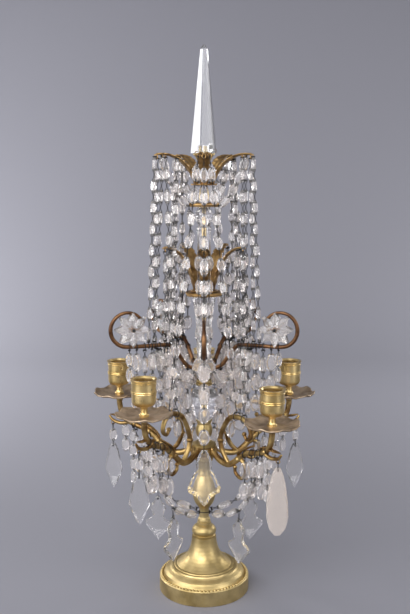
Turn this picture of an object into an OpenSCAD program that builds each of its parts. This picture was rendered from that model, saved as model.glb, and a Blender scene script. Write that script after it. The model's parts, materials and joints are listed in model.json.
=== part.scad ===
// Girandole: a brass and cut-glass table candle holder with five candle arms
// Millimetres, +Z up, origin at the bottom centre of the foot, the front faces -Y

/* [Foot and stem] */
// Radius of the foot's drum
foot_r = 57.5; // [52:0.5:70]
// Height of the drum's side
drum_h = 20; // [16:0.5:24]
// Height of the foot up to its neck
foot_h = 70; // [62:1:78]
// Wall of the spun foot
foot_wall = 2.6; // [2:0.1:3.2]
// Radius of the rod that clamps the stem together
rod_r = 3; // [2.4:0.1:3.4]
// Play of the stem pieces on the rod
rod_play = 0.2; // [0.1:0.05:0.4]
// Height of the turned neck above the foot
neck_h = 22; // [18:1:28]
// Widest radius of the turned neck
neck_r = 15.5; // [13:0.5:17]
// Height of the pear baluster
baluster_h = 78; // [70:1:86]
// Height of the plain stalk under the pear
stalk_h = 16; // [13:0.5:20]
// Widest radius of the pear baluster
baluster_r = 15; // [12:0.5:17]
// Radius of the hub that takes the candle arms
hub_r = 17; // [16:0.5:20]
// Height of the hub
hub_h = 20; // [18:0.5:26]
// Height of the brass knob above the hub
knob_h = 34; // [28:1:40]
// Height of the ringed glass knop
knop_h = 44; // [36:1:52]
// Widest radius of the ringed glass knop
knop_r = 18; // [14:0.5:20]
// Height of the brass collar above the knop
collar_h = 7; // [5:0.5:10]
// Height of the small glass vase
vase_h = 9; // [7:0.5:12]
// Height of the hub that takes the rosette arms
rosette_hub_h = 14; // [12:0.5:18]
// Radius of the hub that takes the rosette arms
rosette_hub_r = 13; // [12:0.5:15]
// Height of the fluted glass column
column_h = 83; // [74:1:92]
// Radius of the fluted column at its flared top
column_r = 14.5; // [12:0.5:17]
// Number of flutes round the column
flutes = 12; // [8:1:16]
// Height of the smooth glass tube
tube_h = 78; // [70:1:86]
// Radius of the smooth glass tube
tube_r = 8.5; // [7:0.5:10]
// Height of the glass knop under the upper dish
dish_knop_h = 24; // [18:1:30]
// Height of the ribbed glass bowl
bowl_h = 21; // [17:0.5:26]
// Widest radius of the ribbed glass bowl
bowl_r = 20.5; // [17:0.5:23]
// Number of ribs round the bowl
ribs = 18; // [12:1:24]
// Height of the glass ball under the spire
ball_h = 28; // [24:0.5:32]
// Height of the cap that holds the spire
cap_h = 8; // [7:0.5:10]
// Whole height from the table to the spire's tip
total_h = 681; // [668:1:700]
// Radius of the spire over its corners at the bottom
spire_r = 17; // [14:0.5:20]

/* [Dishes and leaves] */
// Radius of the lower dish
lower_dish_r = 23; // [20:0.5:27]
// Radius of the upper dish
upper_dish_r = 20; // [18:0.5:24]
// Height of each dish
dish_h = 5; // [4:0.5:7]
// Reach of the upper leaf tips
upper_leaf_r = 62; // [56:1:68]
// Rise of the upper leaf tips above their plate
upper_leaf_rise = 35; // [30:1:40]
// Reach of the lower leaf tips
lower_leaf_r = 53; // [50:0.5:56]
// Rise of the lower leaf tips above their plate
lower_leaf_rise = 54; // [48:1:60]
// Half width of a leaf at its widest
leaf_w = 10.5; // [10:0.25:12]
// Thickness of the leaves
leaf_t = 1.4; // [1:0.1:1.8]

/* [Candle arms] */
// Distance of the candles from the stem's axis
arm_reach = 117; // [112:1:126]
// Rise of the candle cups' seats above the arms' roots
seat_rise = 61.5; // [58:0.5:66]
// How far each bent arm has been turned from even spacing, in degrees
arm_turn = [6.5, 0, -1.5, 0, 1];
// How far each bent arm's end has been lifted
arm_lift = [-7, 7, 0, 0, 0];
// Radius of an arm at its thickest
arm_r = 4; // [3.4:0.1:4.4]
// Width of the tenon that holds an arm in the hub
tenon_w = 5.6; // [4.6:0.2:6.4]
// Play of the tenon in the hub
tenon_play = 0.05; // [0.03:0.01:0.08]
// Radius of the threaded spigot through pan and cup
spigot_r = 2.2; // [1.8:0.1:2.6]
// Play of the spigot in pan and cup
spigot_play = 0.05; // [0.03:0.01:0.08]
// Radius of a drip pan
pan_r = 33.5; // [30:0.5:36]
// Thickness of a drip pan
pan_t = 1.4; // [1:0.1:1.8]
// Number of petals round a drip pan
petals = 8; // [6:1:10]
// Radius of the hole for the candle
candle_r = 12; // [10:0.25:13]
// Depth of the hole for the candle
candle_depth = 25; // [20:1:27]
// Wall of a candle cup
cup_wall = 2; // [1.5:0.1:2.5]
// Height of a candle cup with its pillar
cup_h = 44; // [40:0.5:48]

/* [Rosette arms] */
// Radius of the rosette arms
rosette_arm_r = 2.5; // [2.1:0.1:2.8]
// Rise of the rosette arms' straight part above their hub's middle
rosette_rise = 31; // [28:0.5:34]
// Distance of the rosettes from the stem's axis
rosette_reach = 91; // [89:0.5:96]
// Radius of a rosette over its points
rosette_r = 22.5; // [19:0.5:23.5]
// Thickness of a rosette
rosette_t = 6; // [5:0.5:7]
// Radius of the pin through the rosettes
pin_r = 1.5; // [1.2:0.1:1.8]
// Play of the pin in the rosettes
pin_play = 0.05; // [0.03:0.01:0.08]

/* [Strung glass] */
// Width of the small beads
bead_w = 9; // [8:0.25:10]
// Length of the small beads
bead_l = 16; // [15:0.25:17]
// Thickness of the small beads
bead_t = 5.2; // [5:0.1:5.8]
// Width of the large ovals
oval_w = 14; // [12:0.25:15]
// Length of the large ovals
oval_l = 21; // [19.5:0.25:22]
// Thickness of the large ovals
oval_t = 6.6; // [5.8:0.1:7]
// Distance of a bead's holes from its ends
hole_inset = 2.6; // [2.5:0.05:2.8]
// Radius of the holes in beads and pendants
hole_r = 1.1; // [1.05:0.01:1.3]
// Half thickness of the link wire
wire = 0.4; // [0.34:0.02:0.44]
// Half width of a wire link
link_r = 3; // [2.9:0.05:3.1]
// Length of the links that carry the pendants
hook_l = 10; // [9:0.5:11]
// Thickness of the pendants
pendant_t = 7; // [6:0.25:7.5]

/* [Hidden] */
$fn = 48;
e = 0.01;
brass = [0.70, 0.55, 0.28];
dull_brass = [0.50, 0.43, 0.32];
copper_brown = [0.55, 0.38, 0.22];
glass = [0.87, 0.86, 0.90];
steel = [0.16, 0.15, 0.15];

arms = 5;
bore = rod_r + rod_play;
leaf_plate = 2;
neck_z = foot_h;
baluster_z = neck_z + neck_h;
hub_z = baluster_z + baluster_h;
knob_z = hub_z + hub_h;
knop_z = knob_z + knob_h;
collar_z = knop_z + knop_h;
vase_z = collar_z + collar_h;
rosette_hub_z = vase_z + vase_h;
column_z = rosette_hub_z + rosette_hub_h;
lower_dish_z = column_z + column_h;
lower_leaf_z = lower_dish_z + dish_h;
tube_z = lower_leaf_z + leaf_plate;
dish_knop_z = tube_z + tube_h;
upper_dish_z = dish_knop_z + dish_knop_h;
bowl_z = upper_dish_z + dish_h;
upper_leaf_z = bowl_z + bowl_h;
ball_z = upper_leaf_z + leaf_plate;
cap_z = ball_z + ball_h;
spire_z = cap_z + cap_h;
spire_h = total_h - spire_z;
peg_r = 4;
peg_h = 8;
nut_h = 5;
washer_h = 2.5;

// Bearings of the candle arms, and of the rosette arms and leaves between them
function arm_a(i) = -54 - 72 * i + arm_turn[i];
function leaf_a(k) = -90 + 72 * k;
// The pendants in sight hang turned to the front
hang_turn = [-40, 36, 90, 0, -90];
function hang_a(i) = arm_a(i) + hang_turn[i];
tenon_in = 8.6;
tenon_h = 9;
flat_r = hub_r - 1;
tenon_z = knob_z - tenon_h / 2;

eye_r = 2.2;
eye_wire = 0.6;
hook_gap = eye_wire + wire + 0.15;
tie_gap = 0.45;

function unit(v) = v / norm(v);
function mix(a, b, t) = a + (b - a) * t;
function polar(r, a, z) = [r * cos(a), r * sin(a), z];
function bez(p, t) = pow(1 - t, 3) * p[0] + 3 * t * pow(1 - t, 2) * p[1] + 3 * t * t * (1 - t) * p[2] + t * t * t * p[3];
function bez_line(p, n) = [for (i = [0:n]) bez(p, i / n)];
// Smooth line through all the given points
function smooth(p, n) = concat([for (i = [0:len(p) - 2]) for (j = [0:n - 1])
    let (t = j / n, a = p[max(i - 1, 0)], b = p[i], c = p[i + 1], d = p[min(i + 2, len(p) - 1)])
    0.5 * (2 * b + (c - a) * t + (2 * a - 5 * b + 4 * c - d) * t * t + (3 * b - a - 3 * c + d) * t * t * t)],
    [p[len(p) - 1]]);

// Round tube along a line in the X-Z plane; each point is [x, z, radius]
module tube_along(path, sides) {
    n = len(path);
    dirs = [for (i = [0:n - 1]) let (a = path[max(i - 1, 0)], b = path[min(i + 1, n - 1)]) unit([b[0] - a[0], b[1] - a[1]])];
    pts = [for (i = [0:n - 1]) for (k = [0:sides - 1]) let (c = 360 * (k + 0.5) / sides, q = path[i][2])
        [path[i][0] - dirs[i][1] * q * cos(c), q * sin(c), path[i][1] + dirs[i][0] * q * cos(c)]];
    sides_a = [for (i = [0:n - 2]) for (k = [0:sides - 1]) [i * sides + k, (i + 1) * sides + (k + 1) % sides, (i + 1) * sides + k]];
    sides_b = [for (i = [0:n - 2]) for (k = [0:sides - 1]) [i * sides + k, i * sides + (k + 1) % sides, (i + 1) * sides + (k + 1) % sides]];
    ends = [[for (k = [0:sides - 1]) sides - 1 - k], [for (k = [0:sides - 1]) (n - 1) * sides + k]];
    polyhedron(pts, concat(sides_a, sides_b, ends));
}

// Frame whose local Z runs along w and whose local Y faces the bearing
module aim(p, w, face) {
    v0 = [cos(face), sin(face), 0];
    v = unit(v0 - (v0 * w) * w);
    u = cross(v, w);
    multmatrix([[u[0], v[0], w[0], p[0]], [u[1], v[1], w[1], p[1]], [u[2], v[2], w[2], p[2]], [0, 0, 0, 1]]) children();
}
module face_plate(t) { rotate([90, 0, 0]) translate([0, 0, -t / 2]) linear_extrude(t) children(); }
module side_plate(w) { rotate([90, 0, 90]) translate([0, 0, -w / 2]) linear_extrude(w) children(); }
module ring(r, w) { rotate_extrude() translate([r, 0]) circle(w, $fn = 16); }

// Wire eye under a leaf or arm, standing across the arm's plane
module eye(r, z) { translate([r, 0, z]) rotate([0, 90, 0]) ring(eye_r, eye_wire); }

// Feature taking most care: strings of glass, each bead hung in a wire link through its drilled hole
// A string is [start, end, lean, beads, size, facing, tied]; lean is how its line leaves the start and meets the end
size_list = [[bead_w, bead_l, bead_t], [oval_w, oval_l, oval_t]];
function hold(s) = size_list[s[4]][1] - 2 * hole_inset;
function arc(s) = [for (i = 0, d = 0; i <= 24; d = d + norm(run_at(s, (i + 1) / 24) - run_at(s, i / 24)), i = i + 1) [d, i / 24]];
function gap(s) = (arc(s)[24][0] - s[3] * hold(s)) / (s[3] + 1);
function bead_t_at(s, j) = lookup((j + 1) * gap(s) + (j + 0.5) * hold(s), arc(s));
function run_at(s, t) = bez([s[0], s[0] + s[2][0], s[1] + s[2][1], s[1]], t);
function run_dir(s, t) = unit(run_at(s, min(1, t + e)) - run_at(s, max(0, t - e)));
function straight(a, b) = [(b - a) / 3, (a - b) / 3];
function hole_at(s, j, side) = j < 0 ? s[0] : j >= s[3] ? s[1]
    : run_at(s, bead_t_at(s, j)) + side * hold(s) / 2 * run_dir(s, bead_t_at(s, j));

function span(a, b) = [for (k = [a:b]) k];
module drilled(rim, holes) {
    difference() {
        polygon(rim);
        for (z = holes) translate([0, z]) circle(hole_r);
    }
}
module bead(q) {
    w = q[0] / 2;
    l = q[1] / 2;
    t = q[2] / 2;
    rim = [[0.36 * w, l], [w, 0.3 * l], [w, -0.3 * l], [0.36 * w, -l], [-0.36 * w, -l], [-w, -0.3 * l], [-w, 0.3 * l], [-0.36 * w, l]];
    intersection() {
        face_plate(q[2] + 1) drilled(rim, [l - hole_inset, hole_inset - l]);
        side_plate(q[0] + 1) polygon([[0.9, l + 1], [0.9, l], [t, 0.4 * l], [t, -0.4 * l], [0.9, -l], [0.9, -l - 1],
            [-0.9, -l - 1], [-0.9, -l], [-t, -0.4 * l], [-t, 0.4 * l], [-0.9, l], [-0.9, l + 1]]);
    }
}

// Loop outline: two straight sides and a bent end round each hole
function loop(l, r) = let (e = l / 2, q = r * tan(30)) [[r, e], [q, e + r], [-q, e + r], [-r, e], [-r, -e], [-q, -e - r], [q, -e - r], [r, -e]];
module wire_link(a, b, face) {
    l = norm(b - a) - 2 * link_r;
    aim((a + b) / 2, unit(b - a), face) side_plate(2 * wire)
        polygon(concat(loop(l, link_r + wire), loop(l, link_r - wire)), [span(0, 7), span(8, 15)]);
}
module strung_beads(list) { for (s = list) for (j = [0:1:s[3] - 1]) aim(run_at(s, bead_t_at(s, j)), run_dir(s, bead_t_at(s, j)), s[5]) bead(size_list[s[4]]); }
module strung_links(list) { for (s = list) for (j = [0:s[3] - 1 + s[6]]) wire_link(hole_at(s, j - 1, 1), hole_at(s, j, -1), s[5]); }

// Leaf lines in the X-Z plane, from the plate to the tip
upper_line = [[12, 1], [20, 0.8 * upper_leaf_rise], [0.68 * upper_leaf_r, 1.13 * upper_leaf_rise], [upper_leaf_r, upper_leaf_rise]];
lower_line = [[13, 1], [19, 0.6 * lower_leaf_rise], [0.62 * lower_leaf_r, 1.08 * lower_leaf_rise], [lower_leaf_r, lower_leaf_rise]];
tip_at = 0.94;
lobe_at = 0.8;
lobe_w = 6.6;
function leaf_eye(line, at) = [bez(line, at)[0], bez(line, at)[1] - eye_r + (at == lobe_at ? 0.8 : -0.3)];
function half_leaf(t) = (0.32 + 0.68 * pow(sin(180 * pow(min(t, 0.985), 0.75)), 0.6)) * leaf_w * (t > 0.9 ? mix(1, 0.3, (t - 0.9) / 0.1) : 1);
module leaf(line) {
    n = 10;
    m = 4;
    dirs = [for (i = [0:n]) unit(bez(line, min(1, i / n + 0.02)) - bez(line, max(0, i / n - 0.02)))];
    function grid(side) = [for (i = [0:n]) for (j = [0:m]) let (c = bez(line, i / n), q = 2 * j / m - 1,
        w = half_leaf(i / n) * ((i % 2 == 1 && abs(q) == 1 && i > 2 && i < n - 1) ? 0.78 : 1), up = side * leaf_t / 2 + 1.6 * q * q)
        [c[0] - dirs[i][1] * up, q * w, c[1] + dirs[i][0] * up]];
    k = (n + 1) * (m + 1);
    function at(i, j) = i * (m + 1) + j;
    top = [for (i = [0:n - 1]) for (j = [0:m - 1]) each [[at(i, j), at(i, j + 1), at(i + 1, j)], [at(i + 1, j), at(i, j + 1), at(i + 1, j + 1)]]];
    low = [for (f = top) [k + f[2], k + f[1], k + f[0]]];
    long = [for (i = [0:n - 1]) each [[at(i, 0), at(i + 1, 0), k + at(i, 0)], [at(i + 1, 0), k + at(i + 1, 0), k + at(i, 0)],
        [at(i + 1, m), at(i, m), k + at(i, m)], [at(i + 1, m), k + at(i, m), k + at(i + 1, m)]]];
    wide = [for (j = [0:m - 1]) each [[at(0, j + 1), at(0, j), k + at(0, j)], [at(0, j + 1), k + at(0, j), k + at(0, j + 1)],
        [at(n, j), at(n, j + 1), k + at(n, j)], [at(n, j + 1), k + at(n, j + 1), k + at(n, j)]]];
    polyhedron(concat(grid(1), grid(-1)), concat(top, low, long, wide));
}
module leaf_crown(line, z, plate_r, lobes) {
    translate([0, 0, z]) difference() {
        union() {
            cylinder(leaf_plate, r = plate_r);
            for (k = [0:arms - 1]) rotate(leaf_a(k)) {
                leaf(line);
                eye(leaf_eye(line, tip_at)[0], leaf_eye(line, tip_at)[1]);
                if (lobes) for (s = [-1, 1]) translate([0, s * lobe_w, 0]) eye(leaf_eye(line, lobe_at)[0], leaf_eye(line, lobe_at)[1]);
            }
        }
        translate([0, 0, -30]) cylinder(30, r = 40);
        translate([0, 0, leaf_plate]) cylinder(60, r = 11.5);
        translate([0, 0, -1]) cylinder(leaf_plate + 2, r = bore);
    }
}

// Candle arm lines: each point is [distance from axis, height, radius]
seat_z = tenon_z + seat_rise;
pan_z = seat_z - pan_t;
function lifted(p, i) = [for (q = p) [q[0], q[1] + arm_lift[i] * pow(max(0, q[0] - 24) / (arm_reach - 24), 1), q[2]]];
low_z = tenon_z - 8;
basket_at = arm_reach - 23;
basket_z = low_z + 29.5;
main_line = [[flat_r, tenon_z, 0.95 * arm_r], [30, low_z, arm_r], [46, low_z, 0.95 * arm_r], [62, low_z + 12, 0.9 * arm_r], [77, low_z + 24, 0.86 * arm_r],
    [basket_at, basket_z, 0.85 * arm_r], [arm_reach - 11, low_z + 35, 0.85 * arm_r], [arm_reach - 3, pan_z - 24, 0.85 * arm_r], [arm_reach, pan_z - 11, 0.9 * arm_r], [arm_reach, pan_z - 6, 0.9 * arm_r]];
tie_in = 58;
tie_out = 71;
scroll_top = seat_z - 5;
scroll_line = [[46, low_z, 2.6], [36, low_z + 10, 2.9], [30, low_z + 26, 3], [35, scroll_top - 22, 3], [46, scroll_top - 6, 3], [tie_in, scroll_top - 1, 3],
    [tie_out, scroll_top - 1, 3], [80, scroll_top - 8, 2.8], [83, scroll_top - 19, 2.5], [76, scroll_top - 24, 2.2], [71, scroll_top - 18, 1.9]];
curl_low = low_z - 11;
curl_line = [[64, low_z + 13.5, 2.6], [73, low_z + 8, 2.7], [74, low_z - 3, 2.6], [66, curl_low, 2.4], [57, low_z - 7, 2.1], [56, low_z + 0.5, 1.8]];
sprig_r = arm_reach + 10;
sprig_line = [[arm_reach - 14, low_z + 33, 2.6], [arm_reach - 2, low_z + 30, 2.4], [sprig_r, low_z + 33, 2], [sprig_r + 5, low_z + 39, 1.3]];
function lift_at(i, r) = arm_lift[i] * max(0, r - 24) / (arm_reach - 24);
sprig_eye = [sprig_r, low_z + 33 - 2 - eye_r + 0.7];

module candle_arm(i) {
    color(brass) rotate(arm_a(i)) {
        difference() {
            union() {
                tube_along(smooth(lifted(main_line, i), 3), 8);
                translate([tenon_in, -tenon_w / 2, knob_z - tenon_h]) cube([flat_r + 2 - tenon_in, tenon_w, tenon_h]);
            }
            translate([0, -20, knob_z]) cube([40, 40, 20]);
            for (s = [-1, 1]) translate([0, s > 0 ? tenon_w / 2 : -20 - tenon_w / 2, hub_z - 20]) cube([flat_r, 20, 80]);
            translate([0, -20, hub_z - 20]) cube([flat_r, 40, 20 + hub_h - tenon_h]);
        }
        tube_along(smooth(lifted(scroll_line, i), 3), 6);
        tube_along(smooth(lifted(curl_line, i), 2), 6);
        tube_along(smooth(lifted(sprig_line, i), 2), 6);
        translate([sprig_eye[0], 0, sprig_eye[1] + lift_at(i, sprig_r)]) rotate(hang_turn[i]) eye(0, 0);
        translate([arm_reach, 0, arm_lift[i]]) {
            translate([0, 0, pan_z - 7]) cylinder(7, r1 = 0.9 * arm_r, r2 = 5.5);
            translate([0, 0, pan_z - e]) cylinder(pan_t + 8.5 + e, r = spigot_r);
        }
    }
}

module drip_pan(i) {
    drop = pan_r / 8;
    color(dull_brass) rotate(arm_a(i)) translate([arm_reach, 0, pan_z + arm_lift[i]]) intersection() {
        rotate_extrude() polygon([[spigot_r + spigot_play, 0], [8.5, 0], [0.42 * pan_r, -1.2], [0.72 * pan_r, 0.5], [pan_r, drop],
            [pan_r, drop + pan_t], [0.72 * pan_r, 0.5 + pan_t], [0.42 * pan_r, pan_t - 1.2], [8.5, pan_t], [spigot_r + spigot_play, pan_t]]);
        translate([0, 0, -10]) linear_extrude(30) polygon([for (k = [0:6 * petals - 1]) let (a = 60 * k / petals)
            (pan_r - 2.6 * (1 - abs(cos(a * petals / 2)))) * [cos(a), sin(a)]]);
    }
}

module candle_cup(i) {
    r = candle_r + cup_wall;
    floor_z = cup_h - candle_depth;
    color(brass) rotate(arm_a(i)) translate([arm_reach, 0, seat_z + arm_lift[i]]) rotate_extrude() polygon(concat(
        [[spigot_r + spigot_play, 0], [6, 0], [6, 1.6], [4.8, 2.6], [4, 5], [4, floor_z - 9], [5.2, floor_z - 7.6]],
        bez_line([[5.2, floor_z - 7], [0.75 * r, floor_z - 6.2], [r, floor_z - 3.4], [r, floor_z + 1]], 6),
        [[r, floor_z + 9], [r + 0.9, floor_z + 9.6], [r + 0.9, floor_z + 11.4], [r, floor_z + 12], [r, cup_h - 5], [r + 0.6, cup_h - 4.2], [r, cup_h - 3.4], [r + 0.2, cup_h - 2.4],
        [r + 1.9, cup_h - 1.2], [r + 1.9, cup_h], [candle_r, cup_h], [candle_r, floor_z], [0, floor_z], [0, 9], [spigot_r + spigot_play, 9]]));
}

// Rosette arm line, from its hub to the eye that holds the rosettes
rosette_root = rosette_hub_z + rosette_hub_h / 2;
rosette_arm_z = rosette_root + rosette_rise;
rod_curl = 21;
curl_c = [rosette_reach + 6, rosette_arm_z + rod_curl];
rosette_eye = [rosette_reach, curl_c[1]];
tie_string = rosette_reach - 27;
tie_inner = rosette_reach - 41;
drop_in = rosette_reach - 34;
drop_out = rosette_reach - 15;
rosette_line = concat([[rosette_hub_r - 4, rosette_root, rosette_arm_r], [rosette_hub_r, rosette_root, rosette_arm_r], [rosette_hub_r + 2.5, rosette_root, rosette_arm_r], [24, rosette_root + 5, rosette_arm_r], [35, rosette_arm_z - 10, rosette_arm_r],
    [43, rosette_arm_z - 1.5, rosette_arm_r], [tie_inner, rosette_arm_z, rosette_arm_r], [tie_string, rosette_arm_z, rosette_arm_r], [drop_out, rosette_arm_z, rosette_arm_r]],
    [for (a = [-90:30:120]) [curl_c[0] + rod_curl * cos(a), curl_c[1] + rod_curl * sin(a), rosette_arm_r * (a > 0 ? 1 - a / 500 : 1)]],
    [[rosette_reach - 13, curl_c[1] + 9, 1.7], [rosette_reach - 9, curl_c[1] + 1, 1.6], [rosette_reach - 1, curl_c[1], 1.6]]);
eye_half = rosette_arm_r + 0.3;

module rosette_arm(k) {
    color(copper_brown) rotate(leaf_a(k)) difference() {
        union() {
            tube_along(smooth(rosette_line, 2), 6);
            translate([rosette_eye[0], 0, rosette_eye[1]]) rotate([90, 0, 0]) cylinder(2 * eye_half, r = 4, center = true);
        }
        translate([rosette_eye[0], 0, rosette_eye[1]]) rotate([90, 0, 0]) cylinder(20, r = pin_r + pin_play, center = true);
    }
}
module on_rosettes() { for (k = [0:arms - 1]) rotate(leaf_a(k)) translate([rosette_eye[0], 0, rosette_eye[1]]) for (s = [-1, 1]) rotate([s * 90, 0, 0]) translate([0, 0, eye_half]) children(); }
module rosettes() {
    color(glass) on_rosettes() intersection() {
        linear_extrude(rosette_t) polygon([for (j = [0:15]) (j % 2 == 0 ? rosette_r : 0.6 * rosette_r) * [cos(22.5 * j), sin(22.5 * j)]]);
        rotate_extrude() polygon([[pin_r + pin_play, 0], [0.5 * rosette_r, 0], [rosette_r + 1, 0.3 * rosette_t], [rosette_r + 1, 0.5 * rosette_t], [0.42 * rosette_r, rosette_t], [0.3 * rosette_r, 0.75 * rosette_t], [pin_r + pin_play, 0.75 * rosette_t]]);
    }
}
module rosette_pins() {
    color(steel) for (k = [0:arms - 1]) rotate(leaf_a(k)) translate([rosette_eye[0], 0, rosette_eye[1]]) rotate([90, 0, 0]) {
        cylinder(2 * (eye_half + 0.75 * rosette_t), r = pin_r, center = true);
        for (s = [0, 1]) mirror([0, 0, s]) translate([0, 0, eye_half + 0.75 * rosette_t]) cylinder(1.6, r1 = 3.4, r2 = 2);
    }
}

// Strings, by where they hang
function leaf_hook(line, z, k, at, side) = let (p = leaf_eye(line, at), a = leaf_a(k))
    [p[0] * cos(a) - side * sin(a), p[0] * sin(a) + side * cos(a), z + p[1] - eye_r];
rosette_tie = rosette_arm_r + tie_gap + 2 * eye_wire + 0.5;
arm_tie = 3 + tie_gap + 2 * eye_wire + 0.5;
basket_tie = 0.85 * arm_r + tie_gap + 2 * eye_wire + 0.5;
function tie_up(r, tube) = r - eye_wire - tube - tie_gap;
function rosette_top(k, r) = polar(r, leaf_a(k), rosette_arm_z + tie_up(rosette_tie, rosette_arm_r) + rosette_tie);
function rosette_low(k, r) = polar(r, leaf_a(k), rosette_arm_z - tie_up(rosette_tie, rosette_arm_r) - rosette_tie + hook_gap);
function scroll_tie_z(i, r) = scroll_top - 1 + lift_at(i, r);
function scroll_top_at(i, r) = polar(r, arm_a(i), scroll_tie_z(i, r) + tie_up(arm_tie, 3) + arm_tie);
// Candle arms that stand either side of a leaf
function arm_left(k) = (arms - k) % arms;
function arm_right(k) = (arms + 1 - k) % arms;

// A string tied at both ends: its first and last link go round the wires at a and b
function tied(a, b, beads, size, face, lean) = let (q = is_undef(lean) ? straight(a, b) : lean)
    [a - hook_gap * unit(q[0]), b - hook_gap * unit(q[1]), q, beads, size, face, 1];

curtain = [for (k = [0:arms - 1]) each [
    tied(leaf_hook(upper_line, upper_leaf_z, k, tip_at, 0), rosette_top(k, tie_string), 8, 0, leaf_a(k)),
    tied(leaf_hook(upper_line, upper_leaf_z, k, lobe_at, lobe_w), scroll_top_at(arm_left(k), tie_in), 11, 0, leaf_a(k) + 4),
    tied(leaf_hook(upper_line, upper_leaf_z, k, lobe_at, -lobe_w), scroll_top_at(arm_right(k), tie_out), 11, 0, leaf_a(k) - 4)]];
inner = [for (k = [0:arms - 1]) tied(leaf_hook(lower_line, lower_leaf_z, k, tip_at, 0), rosette_top(k, tie_inner), 4, 0, leaf_a(k))];
drop_pitch = oval_l + 7;
front_drop = 4;
function drop_n(k, r) = r == drop_out ? 2 : k == 0 ? front_drop : 3;
drops = [for (k = [0:arms - 1]) for (r = [drop_in, drop_out]) let (n = drop_n(k, r), p = rosette_low(k, r), q = p - [0, 0, n * drop_pitch + 8])
    [p, q, straight(p, q), n, 1, leaf_a(k), k == 0 && r == drop_in ? 1 : 0]];
neck_ring_r = 10.8;
neck_ring_z = baluster_z + stalk_h - 4;
basket_fall = 64;
basket_run = 44;
baskets = [for (i = [0:arms - 1]) tied(polar(basket_at, arm_a(i), basket_z + lift_at(i, basket_at) - tie_up(basket_tie, 0.85 * arm_r) - basket_tie),
    polar(neck_ring_r, arm_a(i), neck_ring_z), 5, 1, arm_a(i), [polar(-4, arm_a(i), -basket_fall), polar(basket_run, arm_a(i), 2)])];

// Pendants: one on each arm's sprig, one on each basket chain, one on the front drop
sprig_beads = [0, 1, 1, 1, 1];
function sprig_hook(i) = polar(sprig_r, arm_a(i), sprig_eye[1] + lift_at(i, sprig_r) - eye_r + hook_gap);
function sprig_fall(i) = sprig_beads[i] * (bead_l - 2 * hole_inset) + (sprig_beads[i] + 1) * hook_l;
// A basket pendant's hook goes round the lower wire of the chain's fourth link
function basket_hook(i) = let (s = baskets[i], p = hole_at(s, 2, 1), q = hole_at(s, 3, -1), w = unit(q - p), out = polar(1, arm_a(i), 0), v = unit(out - (out * w) * w))
    (p + q) / 2 + (link_r - 3 * wire - 0.1) * v;
basket_hook_l = hook_l + 4;
function hung(p, fall, beads, face) = [p, p - [0, 0, fall], straight(p, p - [0, 0, fall]), beads, 0, face, 1];
hooks = concat([for (i = [0:arms - 1]) hung(sprig_hook(i), sprig_fall(i), sprig_beads[i], hang_a(i))],
    [for (i = [0:arms - 1]) hung(basket_hook(i), basket_hook_l, 0, arm_a(i) + 90)]);

kite = [[-3, 4], [3, 4], [7, -4], [12.5, -31], [4, -51], [0, -57], [-4, -51], [-12.5, -31], [-7, -4]];
long_leaf = [[-3, 4], [3, 4], [7, -5], [10, -18], [13, -38], [13, -57], [9.5, -71], [3, -79], [-3, -79], [-9.5, -71], [-13, -57], [-12, -38], [-9.5, -18], [-6.5, -5]];
notched = [[-3, 4], [3, 4], [6, -4], [10.5, -8], [11, -12], [8.5, -17], [7, -22], [10, -26], [18, -31], [17, -36.5], [11, -43], [5, -50], [0, -55],
    [-5, -50], [-11, -43], [-17, -36.5], [-18, -31], [-10, -26], [-7, -22], [-8.5, -17], [-11, -12], [-10.5, -8], [-6, -4]];
broad = [[-3, 4], [3, 4], [7, -3], [10, -12], [9, -20], [15, -30], [20, -42], [19, -49], [13, -52], [8, -56], [4, -63], [0, -67],
    [-4, -63], [-8, -56], [-13, -52], [-19, -49], [-20, -42], [-15, -30], [-9, -20], [-10, -12], [-7, -3]];
module pendant(p, face, shape) {
    low = min([for (q = shape) q[1]]);
    color(glass) aim(p, [0, 0, 1], face) intersection() {
        face_plate(pendant_t + 2) drilled(shape, [0]);
        side_plate(80) polygon([[1.1, 6], [1.5, 0], [pendant_t / 2, 0.4 * low], [pendant_t / 2, 0.6 * low], [0.8, low - 1],
            [-0.8, low - 1], [-pendant_t / 2, 0.6 * low], [-pendant_t / 2, 0.4 * low], [-1.5, 0], [-1.1, 6]]);
    }
}
module arm_pendant(i) { pendant(hooks[i][1], hang_a(i), i == 0 ? long_leaf : kite); }
module basket_pendant(i) { pendant(hooks[arms + i][1], arm_a(i) + 90, notched); }
module front_pendant() { pendant(drops[0][1], leaf_a(0), broad); }

module curtain_beads() { color(glass) strung_beads(curtain); }
module inner_beads() { color(glass) { strung_beads(inner); strung_beads(hooks); } }
module drop_ovals() { color(glass) strung_beads(drops); }
module basket_ovals() { color(glass) strung_beads(baskets); }
module tie_ring(a, r, z, big) { rotate(a) translate([r, 0, z]) rotate([0, 90, 0]) ring(big, eye_wire); }
module wire_links() {
    color(steel) {
        strung_links(curtain);
        strung_links(inner);
        strung_links(drops);
        strung_links(baskets);
        strung_links(hooks);
        for (k = [0:arms - 1]) {
            for (r = [tie_string, tie_inner]) tie_ring(leaf_a(k), r, rosette_arm_z + tie_up(rosette_tie, rosette_arm_r), rosette_tie);
            for (r = [drop_in, drop_out]) tie_ring(leaf_a(k), r, rosette_arm_z - tie_up(rosette_tie, rosette_arm_r), rosette_tie);
            for (r = [tie_in, tie_out]) tie_ring(arm_a(k), r, scroll_tie_z(k, r) + tie_up(arm_tie, 3), arm_tie);
            tie_ring(arm_a(k), basket_at, basket_z + lift_at(k, basket_at) - tie_up(basket_tie, 0.85 * arm_r), basket_tie);
        }
        translate([0, 0, neck_ring_z]) ring(neck_ring_r, eye_wire);
    }
}

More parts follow.
